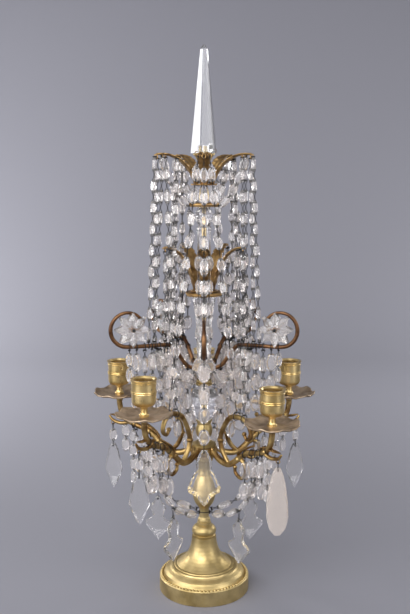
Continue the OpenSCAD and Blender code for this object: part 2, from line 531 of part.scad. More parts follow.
// Stem pieces, stacked face to face on the rod
module turned(z, p) { translate([0, 0, z]) rotate_extrude() polygon(concat([[bore, 0]], p, [[bore, p[len(p) - 1][1]]])); }
module foot() {
    s = foot_r / 57.5;
    t = foot_wall;
    rise = foot_h - drum_h;
    color(brass) rotate_extrude() polygon(concat(
        [[foot_r - 1.6 * t, 0], [foot_r - 0.6, 0], [foot_r, 0.8], [foot_r, drum_h - 1.4], [foot_r - 1, drum_h - 0.3], [53.6 * s, drum_h], [52.6 * s, drum_h - 0.8], [51.8 * s, drum_h + 1]],
        bez_line([[51.8 * s, drum_h + 1], [50.5 * s, drum_h + 7], [45 * s, drum_h + 7], [42.4 * s, drum_h + 10]], 6),
        [[41.6 * s, drum_h + 11.6], [40 * s, drum_h + 12.2], [38.6 * s, drum_h + 11.8], [38 * s, drum_h + 12.6], [36.6 * s, drum_h + 13.2]],
        bez_line([[35.4 * s, drum_h + 13], [23 * s, drum_h + 0.42 * rise], [16.4, drum_h + 0.6 * rise], [15.4, foot_h]], 9),
        [[bore, foot_h], [bore, foot_h - t], [13, foot_h - t]],
        bez_line([[13, foot_h - t], [14, drum_h + 0.55 * rise], [21 * s, drum_h + 0.36 * rise], [34 * s, drum_h + 13 - t]], 8),
        [[50 * s - t, drum_h + 4 - t], [foot_r - 1.6 * t, drum_h - 2 * t]]));
}
module rod_fasteners() {
    color(steel) translate([0, 0, foot_h - foot_wall]) difference() {
        union() {
            translate([0, 0, -washer_h]) cylinder(washer_h, r = 10);
            translate([0, 0, -washer_h - nut_h]) cylinder(nut_h, r = 6.5, $fn = 6);
        }
        translate([0, 0, -20]) cylinder(40, r = rod_r);
    }
}
module tie_rod() { color(steel) translate([0, 0, foot_h - 16]) cylinder(cap_z + cap_h - 3 - foot_h + 16, r = rod_r); }
module neck_collar() {
    color(brass) turned(neck_z, concat([[14.2, 0], [14.6, 0.8], [14.6, 1.8], [13.9, 2.4]],
        bez_line([[14.3, 3], [neck_r + 0.8, 0.25 * neck_h], [neck_r + 0.8, 0.56 * neck_h], [8.8, 0.68 * neck_h]], 8),
        [[8, 0.7 * neck_h], [8, 0.73 * neck_h], [8.9, 0.76 * neck_h], [8.9, 0.82 * neck_h], [7.4, 0.86 * neck_h], [7.4, 0.9 * neck_h], [8, 0.93 * neck_h], [8, 0.97 * neck_h], [7.6, neck_h]]));
}
module stem_baluster() {
    pear = baluster_h - stalk_h;
    color(brass) turned(baluster_z, concat([[7.6, 0], [7.6, 1], [6.2, 3], [6.2, stalk_h - 1]],
        bez_line([[6.6, stalk_h], [baluster_r + 2, stalk_h + 0.15 * pear], [baluster_r + 2, stalk_h + 0.43 * pear], [8, stalk_h + 0.7 * pear]], 10),
        bez_line([[7.8, stalk_h + 0.725 * pear], [6.4, stalk_h + 0.82 * pear], [6.4, stalk_h + 0.885 * pear], [9.5, stalk_h + 0.955 * pear]], 4), [[9.5, baluster_h]]));
}
module arm_hub() {
    color(brass) difference() {
        turned(hub_z, [[9.5, 0], [11.5, 1], [11.5, 3.5], [10, 4.5], [hub_r - 1, hub_h - tenon_h - 4.5], [hub_r, hub_h - tenon_h - 3.5], [hub_r, hub_h]]);
        for (i = [0:arms - 1]) rotate(arm_a(i)) {
            translate([tenon_in - tenon_play, -tenon_w / 2 - tenon_play, knob_z - tenon_h]) cube([30, tenon_w + 2 * tenon_play, tenon_h + 1]);
            translate([flat_r, -20, hub_z - 1]) cube([20, 40, hub_h + 2]);
        }
    }
}
module hub_knob() {
    color(brass) turned(knob_z, concat([[hub_r - 1.6, 0], [hub_r - 1.6, 2.2]],
        bez_line([[hub_r - 3, 3], [9, 4], [7.4, 7], [7, 0.26 * knob_h]], 6),
        bez_line([[7, 0.3 * knob_h], [11.6, 0.42 * knob_h], [11.6, 0.68 * knob_h], [8, 0.82 * knob_h]], 6), [[9, 0.85 * knob_h], [9, 0.91 * knob_h], [10.5, 0.95 * knob_h], [10.5, knob_h]]));
}
module glass_knop() {
    color(glass) turned(knop_z, concat([[10, 0]], [for (k = [0:24]) let (t = k / 24, r = 11 + (knop_r - 11) * sin(180 * t)) [r + 0.8 * sin(360 * 3 * t - 90), 2 + (knop_h - 4) * t]], [[10, knop_h]]));
}
module stem_collar() { color(brass) turned(collar_z, [[9.5, 0], [10.5, 1], [10.5, 0.35 * collar_h], [9, 0.5 * collar_h], [9.8, 0.65 * collar_h], [9.8, collar_h - 0.8], [9, collar_h]]); }
module glass_vase() { color(glass) turned(vase_z, concat([[8, 0]], bez_line([[8.4, 0.5], [7, 0.4 * vase_h], [8, 0.7 * vase_h], [11, vase_h - 0.6]], 6), [[11, vase_h]])); }
module rosette_hub() {
    color(brass) difference() {
        turned(rosette_hub_z, [[10, 0], [rosette_hub_r - 1, 1], [rosette_hub_r, 2.4], [rosette_hub_r, rosette_hub_h - 2.4], [rosette_hub_r - 1, rosette_hub_h - 1], [10.5, rosette_hub_h]]);
        for (k = [0:arms - 1]) rotate(leaf_a(k)) translate([rosette_hub_r - 4.2, 0, rosette_root]) rotate([0, 90, 0]) cylinder(20, r = rosette_arm_r + 0.05);
    }
}
module glass_column() {
    low = 9;
    lean = atan((column_r - low) / (0.5 * column_h));
    color(glass) difference() {
        turned(column_z, concat([[low, 0], [low + 0.8, 1], [low + 0.8, 3], [low, 4]], bez_line([[low, 5], [low - 1, 0.35 * column_h], [low + 1, 0.7 * column_h], [column_r, column_h - 3]], 8), [[column_r, column_h]]));
        for (k = [0:flutes - 1]) rotate(360 * k / flutes) translate([low + 0.9, 0, column_z + 8]) cylinder(column_h * 0.6, r = 1.5, $fn = 24);
    }
}
module dish(z, r) { turned(z, [[8, 0], [0.5 * r, 0.2 * dish_h], [r - 1.4, 0.35 * dish_h], [r, 0.5 * dish_h], [r, 0.8 * dish_h], [r - 1.2, dish_h], [r - 2.6, dish_h - 0.9], [11.4, dish_h - 0.9], [11.4, dish_h]]); }
module lower_dish() { color(brass) dish(lower_dish_z, lower_dish_r); }
module upper_dish() { color(brass) dish(upper_dish_z, upper_dish_r); }
module lower_leaves() { color(brass) leaf_crown(lower_line, lower_leaf_z, 17, false); }
module upper_leaves() { color(brass) leaf_crown(upper_line, upper_leaf_z, 16, true); }
module glass_tube() { color(glass) turned(tube_z, [[tube_r, 0], [tube_r + 0.8, 1], [tube_r + 0.8, 4], [tube_r, 5], [tube_r, tube_h - 5], [tube_r + 0.8, tube_h - 4], [tube_r + 0.8, tube_h - 1], [tube_r, tube_h]]); }
module dish_knop() { color(glass) turned(dish_knop_z, concat([[7, 0]], [for (k = [0:10]) [7 + 4.5 * sin(18 * k), 1 + (dish_knop_h - 2) * k / 10]], [[7, dish_knop_h]])); }
module glass_bowl() {
    color(glass) difference() {
        turned(bowl_z, concat([[10, 0]], bez_line([[12, 0.4], [bowl_r + 3, 2], [bowl_r + 3, 0.7 * bowl_h], [12, bowl_h - 0.4]], 10), [[11, bowl_h]]));
        for (k = [0:ribs - 1]) rotate(360 * k / ribs) translate([bowl_r + 0.2, 0, bowl_z - 1]) cylinder(bowl_h + 2, r = 1.3, $fn = 24);
    }
}
module glass_ball() { color(glass) turned(ball_z, concat([[7, 0]], [for (k = [0:12]) [7 + 8 * sin(15 * k), 0.6 + (ball_h - 1.2) * k / 12]], [[7, ball_h]])); }
module spire_cap() {
    color(brass) translate([0, 0, cap_z]) rotate_extrude() polygon([[bore, 0], [9, 0], [9, 1.5], [11, cap_h - 3], [13, cap_h - 1.6], [13, cap_h], [peg_r, cap_h], [peg_r, cap_h + peg_h], [0, cap_h + peg_h], [0, cap_h - 2.8], [bore, cap_h - 2.8]]);
}
module spire() {
    point = 0.04 * spire_h;
    top_r = 0.27 * spire_r;
    color(glass) translate([0, 0, spire_z]) rotate(20) difference() {
        union() {
            cylinder(spire_h - point, r1 = spire_r, r2 = top_r, $fn = 6);
            translate([0, 0, spire_h - point]) cylinder(point, r1 = top_r, r2 = 1, $fn = 6);
        }
        translate([0, 0, -1]) cylinder(peg_h + 2, r = peg_r + 0.05);
    }
}

foot();
rod_fasteners();
tie_rod();
neck_collar();
stem_baluster();
arm_hub();
hub_knob();
glass_knop();
stem_collar();
glass_vase();
rosette_hub();
glass_column();
lower_dish();
lower_leaves();
glass_tube();
dish_knop();
upper_dish();
glass_bowl();
upper_leaves();
glass_ball();
spire_cap();
spire();
for (i = [0:arms - 1]) candle_arm(i);
for (i = [0:arms - 1]) drip_pan(i);
for (i = [0:arms - 1]) candle_cup(i);
for (i = [0:arms - 1]) rosette_arm(i);
rosettes();
rosette_pins();
curtain_beads();
inner_beads();
drop_ovals();
basket_ovals();
wire_links();
for (i = [0:arms - 1]) arm_pendant(i);
for (i = [0:arms - 1]) basket_pendant(i);
front_pendant();
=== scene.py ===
import json
import math
import random

import bmesh
import bpy
import numpy as np
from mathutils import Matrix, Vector


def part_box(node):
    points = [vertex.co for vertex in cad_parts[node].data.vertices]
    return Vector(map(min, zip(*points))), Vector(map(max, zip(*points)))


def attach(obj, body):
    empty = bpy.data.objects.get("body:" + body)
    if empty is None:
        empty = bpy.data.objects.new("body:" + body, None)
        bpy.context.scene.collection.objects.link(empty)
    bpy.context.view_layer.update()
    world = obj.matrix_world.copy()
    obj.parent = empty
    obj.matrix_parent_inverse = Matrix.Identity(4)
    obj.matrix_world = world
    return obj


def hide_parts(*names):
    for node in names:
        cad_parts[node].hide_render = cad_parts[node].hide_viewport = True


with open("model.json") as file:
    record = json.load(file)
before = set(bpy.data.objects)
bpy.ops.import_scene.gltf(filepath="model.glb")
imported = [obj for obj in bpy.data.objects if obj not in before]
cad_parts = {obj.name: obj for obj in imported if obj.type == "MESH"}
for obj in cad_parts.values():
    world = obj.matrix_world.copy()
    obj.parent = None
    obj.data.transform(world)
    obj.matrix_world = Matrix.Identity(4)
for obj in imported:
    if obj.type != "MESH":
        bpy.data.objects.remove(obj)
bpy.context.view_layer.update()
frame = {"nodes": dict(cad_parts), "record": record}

MM = 0.001
STAND = "stand"
ARMS = 5
FRONT = -90
PITCH = 360 // ARMS
LEAF_BEARINGS = [FRONT + PITCH * k for k in range(ARMS)]
SEED = 7
rng = random.Random(SEED)


# Materials

NOISE_FROM, NOISE_TO = 0.3, 0.7
PATINA_FROM, PATINA_TO = 0.36, 0.6
PIT_DEPTH = 0.0003
GLASS_IOR = 1.52
BLOOM_SCALE = 90


def srgb(r, g, b):
    """A colour given as 0 to 255 display values."""
    def linear(c):
        c /= 255
        return c / 12.92 if c <= 0.04045 else ((c + 0.055) / 1.055) ** 2.4
    return (linear(r), linear(g), linear(b), 1)


def blank(name):
    """A material with one shader and nothing else."""
    mat = bpy.data.materials.new(name)
    mat.use_nodes = True
    tree = mat.node_tree
    tree.nodes.clear()
    out = tree.nodes.new("ShaderNodeOutputMaterial")
    bsdf = tree.nodes.new("ShaderNodeBsdfPrincipled")
    tree.links.new(bsdf.outputs[0], out.inputs[0])
    return mat, tree, bsdf


def noise(tree, scale, detail=4.0):
    """Noise that is fixed to the object."""
    coord = tree.nodes.new("ShaderNodeTexCoord")
    node = tree.nodes.new("ShaderNodeTexNoise")
    node.inputs["Scale"].default_value = scale
    node.inputs["Detail"].default_value = detail
    tree.links.new(coord.outputs["Object"], node.inputs["Vector"])
    return node


def spread(tree, source, low, high):
    """Noise stretched to run from low to high."""
    node = tree.nodes.new("ShaderNodeMapRange")
    node.inputs["From Min"].default_value = NOISE_FROM
    node.inputs["From Max"].default_value = NOISE_TO
    node.inputs["To Min"].default_value = low
    node.inputs["To Max"].default_value = high
    tree.links.new(source.outputs[0], node.inputs["Value"])
    return node


def metal(name, light, dark, rough, grain, bump=0.25, metallic=1.0):
    """Old metal: patches of patina, uneven polish and fine pitting."""
    mat, tree, bsdf = blank(name)
    patches = noise(tree, grain, 6)
    ramp = tree.nodes.new("ShaderNodeValToRGB")
    low, high = ramp.color_ramp.elements
    low.position, low.color = PATINA_FROM, dark
    high.position, high.color = PATINA_TO, light
    tree.links.new(patches.outputs[0], ramp.inputs[0])
    tree.links.new(ramp.outputs[0], bsdf.inputs["Base Color"])
    bsdf.inputs["Metallic"].default_value = metallic
    polish = spread(tree, noise(tree, grain * 3), *rough)
    tree.links.new(polish.outputs[0], bsdf.inputs["Roughness"])
    pits = tree.nodes.new("ShaderNodeBump")
    pits.inputs["Strength"].default_value = bump
    pits.inputs["Distance"].default_value = PIT_DEPTH
    tree.links.new(noise(tree, grain * 14, 2).outputs[0], pits.inputs["Height"])
    tree.links.new(pits.outputs[0], bsdf.inputs["Normal"])
    return mat


def clear_glass(name, tint, rough=(0.0, 0.03), milk=0.0):
    """Old glass: milk is the share of light that its scratches and bloom scatter."""
    mat, tree, bsdf = blank(name)
    bsdf.inputs["Base Color"].default_value = (*tint, 1)
    bsdf.inputs["Transmission Weight"].default_value = 1 - milk
    bsdf.inputs["IOR"].default_value = GLASS_IOR
    bloom = spread(tree, noise(tree, BLOOM_SCALE), *rough)
    tree.links.new(bloom.outputs[0], bsdf.inputs["Roughness"])
    return mat


BRASS = metal("aged_brass", srgb(208, 186, 134), srgb(172, 150, 100), (0.38, 0.54), 38, bump=0.12)
CUP_BRASS = metal("cup_brass", srgb(228, 202, 144), srgb(200, 172, 112), (0.26, 0.4), 60, bump=0.1)
ARM_BRASS = metal("arm_brass", srgb(194, 166, 110), srgb(126, 96, 58), (0.32, 0.5), 70)
LEAF_BRASS = metal("leaf_brass", srgb(186, 152, 100), srgb(112, 84, 52), (0.34, 0.52), 90)
PAN_BRASS = metal("tarnished_pan", srgb(196, 174, 148), srgb(140, 120, 98), (0.36, 0.56), 60, metallic=0.9)
COPPER = metal("brown_rod", srgb(136, 100, 70), srgb(78, 54, 40), (0.34, 0.52), 60)
WIRE = metal("dark_wire", srgb(30, 28, 27), srgb(13, 12, 12), (0.45, 0.65), 200, metallic=0.2)
GLASS = clear_glass("cut_glass", (0.988, 0.948, 0.926), (0.0, 0.06), milk=0.14)
STAR = clear_glass("star_glass", (0.985, 0.96, 0.945), milk=0.12)
PENDANT = clear_glass("pendant_glass", (0.99, 0.975, 0.968), (0.0, 0.012), milk=0.05)
SPIRE = clear_glass("spire_glass", (0.975, 0.975, 0.99), milk=0.06)
SMOKY = clear_glass("old_glass", (0.975, 0.96, 0.965), (0.0, 0.06), milk=0.08)
PINK = clear_glass("frosted_leaf_glass", (0.97, 0.885, 0.815), (0.06, 0.24), milk=0.24)


# Mesh building

def outward(mesh):
    """Turns every face of each closed shell to the outside."""
    shape = bmesh.new()
    shape.from_mesh(mesh)
    bmesh.ops.recalc_face_normals(shape, faces=shape.faces)
    shape.faces.index_update()
    seen = set()
    for first in shape.faces:
        if first.index in seen:
            continue
        seen.add(first.index)
        shell, ahead = [], [first]
        while ahead:
            face = ahead.pop()
            shell.append(face)
            for other in (f for edge in face.edges for f in edge.link_faces):
                if other.index not in seen:
                    seen.add(other.index)
                    ahead.append(other)
        middle = first.calc_center_median()
        if sum((f.calc_center_median() - middle).dot(f.normal) * f.calc_area() for f in shell) < 0:
            for face in shell:
                face.normal_flip()
    shape.to_mesh(mesh)
    shape.free()


def lay(name, verts, faces, mat, smooth=False, body=STAND, node=None):
    """A mesh from points in metres that rides on a body and may stand for one node or more."""
    mesh = bpy.data.meshes.new(name)
    mesh.from_pydata([tuple(v) for v in verts], [], [tuple(int(i) for i in f) for f in faces])
    mesh.validate()
    outward(mesh)
    mesh.polygons.foreach_set("use_smooth", [smooth] * len(mesh.polygons))
    mesh.materials.append(mat)
    obj = bpy.data.objects.new(name, mesh)
    bpy.context.scene.collection.objects.link(obj)
    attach(obj, body)
    if node:
        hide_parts(*([node] if isinstance(node, str) else node))
    return obj


class Heap:
    """Points and faces gathered from many small shapes."""

    def __init__(self):
        self.verts = []
        self.faces = []

    def add(self, verts, faces, place=None):
        start = len(self.verts)
        for v in verts:
            self.verts.append(place(v) if place else Vector(v))
        self.faces.extend(tuple(i + start for i in f) for f in faces)


def placer(origin, x, y, z):
    """Turns local millimetres along three axes into metres in the frame."""
    o, x, y, z = Vector(origin), Vector(x), Vector(y), Vector(z)
    return lambda v: o + (x * v[0] + y * v[1] + z * v[2]) * MM


def turned_by(bearing, z=0.0):
    """Local X points out along the bearing."""
    c, s = math.cos(math.radians(bearing)), math.sin(math.radians(bearing))
    return placer((0, 0, z * MM), (c, s, 0), (-s, c, 0), (0, 0, 1))


def spline(points, steps):
    """Smooth line through all the points."""
    p = [np.array(q, float) for q in points]
    out = []
    for i in range(len(p) - 1):
        a, b, c, d = p[max(i - 1, 0)], p[i], p[i + 1], p[min(i + 2, len(p) - 1)]
        for j in range(steps):
            t = j / steps
            square, cube = 2 * a - 5 * b + 4 * c - d, 3 * b - a - 3 * c + d
            out.append(0.5 * (2 * b + (c - a) * t + square * t * t + cube * t ** 3))
    out.append(p[-1])
    return out


def sweep(path, radii, sides, closed=False):
    """A round tube through points in millimetres."""
    n = len(path)
    path = [Vector(p) for p in path]
    dirs = []
    for i in range(n):
        a = path[i - 1] if closed or i > 0 else path[i]
        b = path[(i + 1) % n] if closed or i < n - 1 else path[i]
        dirs.append((b - a).normalized())
    up = Vector((0, 0, 1)) if abs(dirs[0].z) < 0.8 else Vector((1, 0, 0))
    normal = (up - dirs[0] * up.dot(dirs[0])).normalized()
    verts, faces = [], []
    for i in range(n):
        normal = (normal - dirs[i] * normal.dot(dirs[i])).normalized()
        side = dirs[i].cross(normal)
        for k in range(sides):
            a = 2 * math.pi * k / sides
            verts.append(path[i] + (normal * math.cos(a) + side * math.sin(a)) * radii[i])
    rings = n if closed else n - 1
    for i in range(rings):
        for k in range(sides):
            a, b = i * sides, ((i + 1) % n) * sides
            faces.append((a + k, a + (k + 1) % sides, b + (k + 1) % sides, b + k))
    if not closed:
        faces.append(tuple(range(sides - 1, -1, -1)))
        faces.append(tuple((n - 1) * sides + k for k in range(sides)))
    return verts, faces


def ring_wire(radius, wire, steps=24, sides=8):
    """A ring of round wire that stands across the local X axis."""
    turns = [2 * math.pi * i / steps for i in range(steps)]
    path = [(0, radius * math.cos(a), radius * math.sin(a)) for a in turns]
    return sweep(path, [wire] * steps, sides, closed=True)


def ball(radius, rings=6, sides=10, squash=1.0):
    """A ball whose height is its width times squash."""
    turns = [2 * math.pi * k / sides for k in range(sides)]
    verts = [(0, 0, radius * squash)]
    for i in range(1, rings):
        a = math.pi * i / rings
        r = radius * math.sin(a)
        verts += [(r * math.cos(b), r * math.sin(b), radius * squash * math.cos(a)) for b in turns]
    verts.append((0, 0, -radius * squash))
    faces = [(0, 1 + k, 1 + (k + 1) % sides) for k in range(sides)]
    for i in range(rings - 2):
        a, b = 1 + i * sides, 1 + (i + 1) * sides
        faces += [(a + k, b + k, b + (k + 1) % sides, a + (k + 1) % sides) for k in range(sides)]
    last, low = len(verts) - 1, 1 + (rings - 2) * sides
    faces += [(last, low + (k + 1) % sides, low + k) for k in range(sides)]
    return verts, faces


def lathe(profile, sides, ripple=None):
    """A turned shape from a closed outline of radius and height; ripple may change the radius."""
    verts, faces = [], []
    for r, z in profile:
        for k in range(sides):
            a = 2 * math.pi * k / sides
            q = ripple(a, r, z) if ripple else r
            verts.append((q * math.cos(a), q * math.sin(a), z))
    n = len(profile)
    for i in range(n):
        j = (i + 1) % n
        for k in range(sides):
            m = (k + 1) % sides
            faces.append((i * sides + k, i * sides + m, j * sides + m, j * sides + k))
    return verts, faces


def bezier(p, t):
    """The point at t on a curve with four control points."""
    a, b, c, d = (np.array(x, float) for x in p)
    return (1 - t) ** 3 * a + 3 * t * (1 - t) ** 2 * b + 3 * t * t * (1 - t) * c + t ** 3 * d


def bezier_run(p, steps):
    """Points along the whole curve, as plain pairs."""
    return [tuple(bezier(p, k / steps)) for k in range(steps + 1)]


def shifted(verts, move):
    """The same points, moved."""
    return [(v[0] + move[0], v[1] + move[1], v[2] + move[2]) for v in verts]


WELD = 2e-6


def solids(name):
    """The points of each separate solid in a CAD node."""
    mesh = frame["nodes"][name].data
    co = np.empty(len(mesh.vertices) * 3)
    mesh.vertices.foreach_get("co", co)
    co = co.reshape(-1, 3)
    ends = np.empty(len(mesh.edges) * 2, dtype=np.int64)
    mesh.edges.foreach_get("vertices", ends)
    _, spot = np.unique(np.round(co / WELD).astype(np.int64), axis=0, return_inverse=True)
    spot = spot.reshape(-1)
    root = list(range(spot.max() + 1))

    def find(i):
        while root[i] != i:
            root[i] = root[root[i]]
            i = root[i]
        return i

    for a, b in spot[ends.reshape(-1, 2)]:
        a, b = find(a), find(b)
        if a != b:
            root[a] = b
    groups = {}
    for i, s in enumerate(spot):
        groups.setdefault(find(s), []).append(i)
    return [np.unique(np.round(co[g], 7), axis=0) for g in groups.values()]


def axes_of(cloud):
    """Centre, long, middle and short axis of a solid, with its size along each, in metres."""
    centre = (cloud.max(0) + cloud.min(0)) / 2
    for _ in range(2):
        _, vecs = np.linalg.eigh(np.cov((cloud - centre).T))
        local = (cloud - centre) @ vecs
        centre = centre + vecs @ ((local.max(0) + local.min(0)) / 2)
    local = (cloud - centre) @ vecs
    size = local.max(0) - local.min(0)
    order = np.argsort(-size)
    return centre, [Vector(vecs[:, i]) for i in order], [size[i] for i in order]


# Cut beads: two crowns of facets meet at a thin edge

FACETED = [((0.8, 0.84), 0.5, 0.36), ((0.54, 0.6), 0, 0.48)]
ALMOND = [((0.86, 0.88), 0.5, 0.36), ((0.68, 0.74), 0, 0.47)]
BEAD_SIDES = 12
GIRDLE = 0.07
ROUND_ACROSS, ROUND_ALONG = 0.9, 1.1


def cut_bead(width, length, thick, cut):
    """A bead whose cut lists, for each row of facets, its scale, its turn and its depth."""
    n = BEAD_SIDES

    def outline(scale, turn, y):
        pts = []
        for i in range(n):
            a = 2 * math.pi * (i + turn) / n
            c, s = math.cos(a), math.sin(a)
            x = width / 2 * scale[0] * math.copysign(abs(c) ** ROUND_ACROSS, c)
            z = length / 2 * scale[1] * math.copysign(abs(s) ** ROUND_ALONG, s)
            pts.append((x, y, z))
        return pts

    verts = outline((1, 1), 0, GIRDLE * thick)
    for scale, turn, depth in cut:
        verts += outline(scale, turn, depth * thick)
    verts += [(x, -y, z) for x, y, z in verts]
    faces = []
    for side in (0, 1):
        base = side * 3 * n
        for i in range(n):
            j = (i + 1) % n
            crown = [(i, n + i, j), (j, n + i, n + j)]
            upper = [(n + i, 2 * n + j, n + j), (n + i, 2 * n + i, 2 * n + j)]
            for t in crown + upper:
                t = tuple(base + q for q in t)
                faces.append(t if side else t[::-1])
        table = tuple(base + 2 * n + i for i in range(n))
        faces.append(table[::-1] if not side else table)
    for i in range(n):
        j = (i + 1) % n
        faces.append((i, j, 3 * n + j, 3 * n + i))
    return verts, faces


BEAD_TWIST = 0.5
SWELL = 1.12


def twisted(side, face):
    """The two cross axes of a bead, turned by chance about its length."""
    twist = rng.uniform(-BEAD_TWIST, BEAD_TWIST)
    c, s = math.cos(twist), math.sin(twist)
    return side * c + face * s, face * c - side * s


def string_of_beads(node, cut, swell):
    """Cut beads in the places of a node's plain ones."""
    heap = Heap()
    for cloud in solids(node):
        centre, (long_axis, mid, short), (length, width, thick) = axes_of(cloud)
        bead = cut_bead(width / MM * swell, length / MM * swell, thick / MM, cut)
        heap.add(*bead, placer(centre, *twisted(mid, short), long_axis))
    lay(node + "_cut", heap.verts, heap.faces, GLASS, node=node)


string_of_beads("curtain_beads", FACETED, SWELL)
string_of_beads("inner_beads", FACETED, SWELL)
string_of_beads("drop_ovals", ALMOND, 1.0)
string_of_beads("basket_ovals", ALMOND, 1.0)


# Wire links: a loop at each end, pinched and twisted in the middle

LINK_WIRE, LINK_STEPS, LINK_SIDES = 0.36, 12, 5
LINK_PINCH, LINK_TWIST = 0.42, 0.25
LINK_TIP_FROM, LINK_TIP = 0.97, 0.9
LINK_INSET = 0.4
RING_WIRE, RING_INSET = 0.55, 0.6
RING_ROUND, RING_THICK = 0.9, 1.0
KNOT = ball(1.15, 4, 6, squash=2.5)
KNOT_INSET = 0.9


def pinched_loop(length, half):
    """A closed wire round both holes; the two sides come together between them."""
    end = length / 2 - LINK_WIRE
    path = []
    for side in (1, -1):
        for i in range(LINK_STEPS):
            t = -1 + 2 * i / LINK_STEPS
            bulge = half * (1 - abs(t) ** 4) ** 0.5 * (0.16 + 0.84 * min(1, abs(t) * 1.35) ** 3)
            across = max(LINK_PINCH, bulge) if abs(t) < LINK_TIP_FROM else LINK_TIP
            path.append((side * LINK_TWIST * math.cos(math.pi * t), side * across, side * t * end))
    return sweep(path, [LINK_WIRE] * len(path), LINK_SIDES, closed=True)


def knots(heap, centre, side, way, face, length):
    """The wire that stands out of the glass at both ends of a link."""
    for end in (1, -1):
        spot = Vector(centre) + Vector(way) * end * (length / 2 - KNOT_INSET) * MM
        heap.add(*KNOT, placer(spot, side, way, face))


def wire_work():
    """Thin links and tie rings in the places of the plain ones."""
    heap = Heap()
    for cloud in solids("wire_links"):
        centre, (a, b, c), (la, lb, lc) = axes_of(cloud)
        if lb > RING_ROUND * la and lc > RING_THICK * MM:
            heap.add(*ring_wire(la / MM / 2 - RING_INSET, RING_WIRE), placer(centre, c, a, b))
        else:
            heap.add(*pinched_loop(la / MM, lb / MM / 2 - LINK_INSET), placer(centre, c, b, a))
            knots(heap, centre, c, a, b, la / MM)
    lay("wire_work", heap.verts, heap.faces, WIRE, smooth=True, node="wire_links")


wire_work()


# Pendants: outlines round the hole, in millimetres

def both_sides(right):
    """A whole outline from the right half, which runs from the top edge down to the tip."""
    return [(-right[0][0], right[0][1])] + right + [(-x, z) for x, z in right[-2:0:-1]]


KITE = both_sides([(3, 4), (7, -4), (12.5, -31), (4, -51), (0, -57)])
LONG_LEAF = [(-3, 4), (3, 4), (7, -5), (10, -18), (13, -38), (13, -57), (9.5, -71), (3, -79),
             (-3, -79), (-9.5, -71), (-13, -57), (-12, -38), (-9.5, -18), (-6.5, -5)]
NOTCHED = both_sides([(3, 4), (6, -4), (10.5, -8), (11, -12), (8.5, -17), (7, -22), (10, -26), (18, -31),
                      (17, -36.5), (11, -43), (5, -50), (0, -55)])
BROAD = both_sides([(3, 4), (7, -3), (10, -12), (9, -20), (15, -30), (20, -42), (19, -49), (13, -52),
                    (8, -56), (4, -63), (0, -67)])
PENDANT_T = 7.0
TABLE = 2.4
FLUTE = 0.07
FLUTES_PER_SIDE = 3
RINGS = [(1.0, 0.3), (0.86, 0.72), (0.72, 0.9)]
NECK_Z, NECK_HALF, TIP_HALF = 3, 1.3, 0.9
THICK_FROM, THICK_TO = 0.4, 0.6
HEART = 0.42


def table_strips(heights, top):
    """Level strips across an outline that starts with its top edge, so that each strip is flat."""
    n = len(heights)
    right, left = top, n
    upper = list(range(top + 1))
    strips = []
    while left - right > 2:
        if abs(heights[right] - heights[right + 1]) < 1e-6:
            strips[-1][-1:] = list(range(right + 1, left + 1))
            return strips
        strips.append(upper + [right + 1, left - 1])
        right, left = right + 1, left - 1
        upper = [left, right]
    strips.append(upper + [right + 1])
    return strips


def plaquette(corners):
    """A plate with a flat table on each face and a fluted edge bevelled in two steps."""
    low = min(z for _, z in corners)
    steps = [k / FLUTES_PER_SIDE for k in range(FLUTES_PER_SIDE)]
    outline = [(a[0] + (b[0] - a[0]) * t, a[1] + (b[1] - a[1]) * t)
               for a, b in zip(corners, corners[1:] + corners[:1]) for t in steps]

    def half_thick(z):
        full = PENDANT_T / 2
        if z > THICK_FROM * low:
            return NECK_HALF + (full - NECK_HALF) * min(0, z - NECK_Z) / (THICK_FROM * low - NECK_Z)
        if z < THICK_TO * low:
            return TIP_HALF + (full - TIP_HALF) * (z - low) / (THICK_TO * low - low)
        return full

    n = len(outline)
    verts = []
    for sign in (1, -1):
        for ring, (scale, depth) in enumerate(RINGS):
            for i, (x, z) in enumerate(outline):
                bite = FLUTE * (i % 2) if ring == 1 else 0
                zz = z + (HEART * low - z) * (1 - scale + bite) * (0.5 if z < 0 else 0.3)
                verts.append((x * (scale - bite), sign * min(depth * half_thick(zz), TABLE), zz))
    faces = []
    for side in (0, 1):
        base = side * 3 * n
        for ring in (0, 1):
            for i in range(n):
                j = (i + 1) % n
                a, b = base + ring * n, base + (ring + 1) * n
                quad = [(a + i, b + i, a + j), (a + j, b + i, b + j)]
                faces += [q if side else q[::-1] for q in quad]
        for strip in table_strips([z for _, z in outline], FLUTES_PER_SIDE):
            strip = tuple(base + 2 * n + i for i in strip)
            faces.append(strip if side else strip[::-1])
    for i in range(n):
        j = (i + 1) % n
        faces.append((j, i, 3 * n + i, 3 * n + j))
    return verts, faces


def hang(node, outline, mat):
    """A pendant on its own joint, with its hole on the axis."""
    joints = frame["record"]["behaviour"]["joints"]
    joint = next(j for j in joints if j["name"] == node + "_swing")
    out, up = Vector(joint["axis"]), Vector((0, 0, 1))
    verts, faces = plaquette(outline)
    place = placer(joint["pos_m"], out.cross(up), out, up)
    lay(node + "_cut", [place(v) for v in verts], faces, mat, body=node + "_body", node=node)


for arm in range(1, ARMS + 1):
    hang(f"arm_pendant_{arm}", LONG_LEAF if arm == 1 else KITE, PINK if arm == 1 else PENDANT)
    hang(f"basket_pendant_{arm}", NOTCHED, PENDANT)
hang("front_pendant", BROAD, PENDANT)


# Rosettes: eight ridged petals round a boss

STAR_POINTS = 8
STAR_BOSS = 0.62
STAR_VALLEY = 0.62
STAR_TIP_BACK = 0.28
STAR_FRONT = [(STAR_VALLEY, 0.34, -0.5), (0.5, 1, 0), (1, 0.42, 0), (0.24, 0.8, 0)]


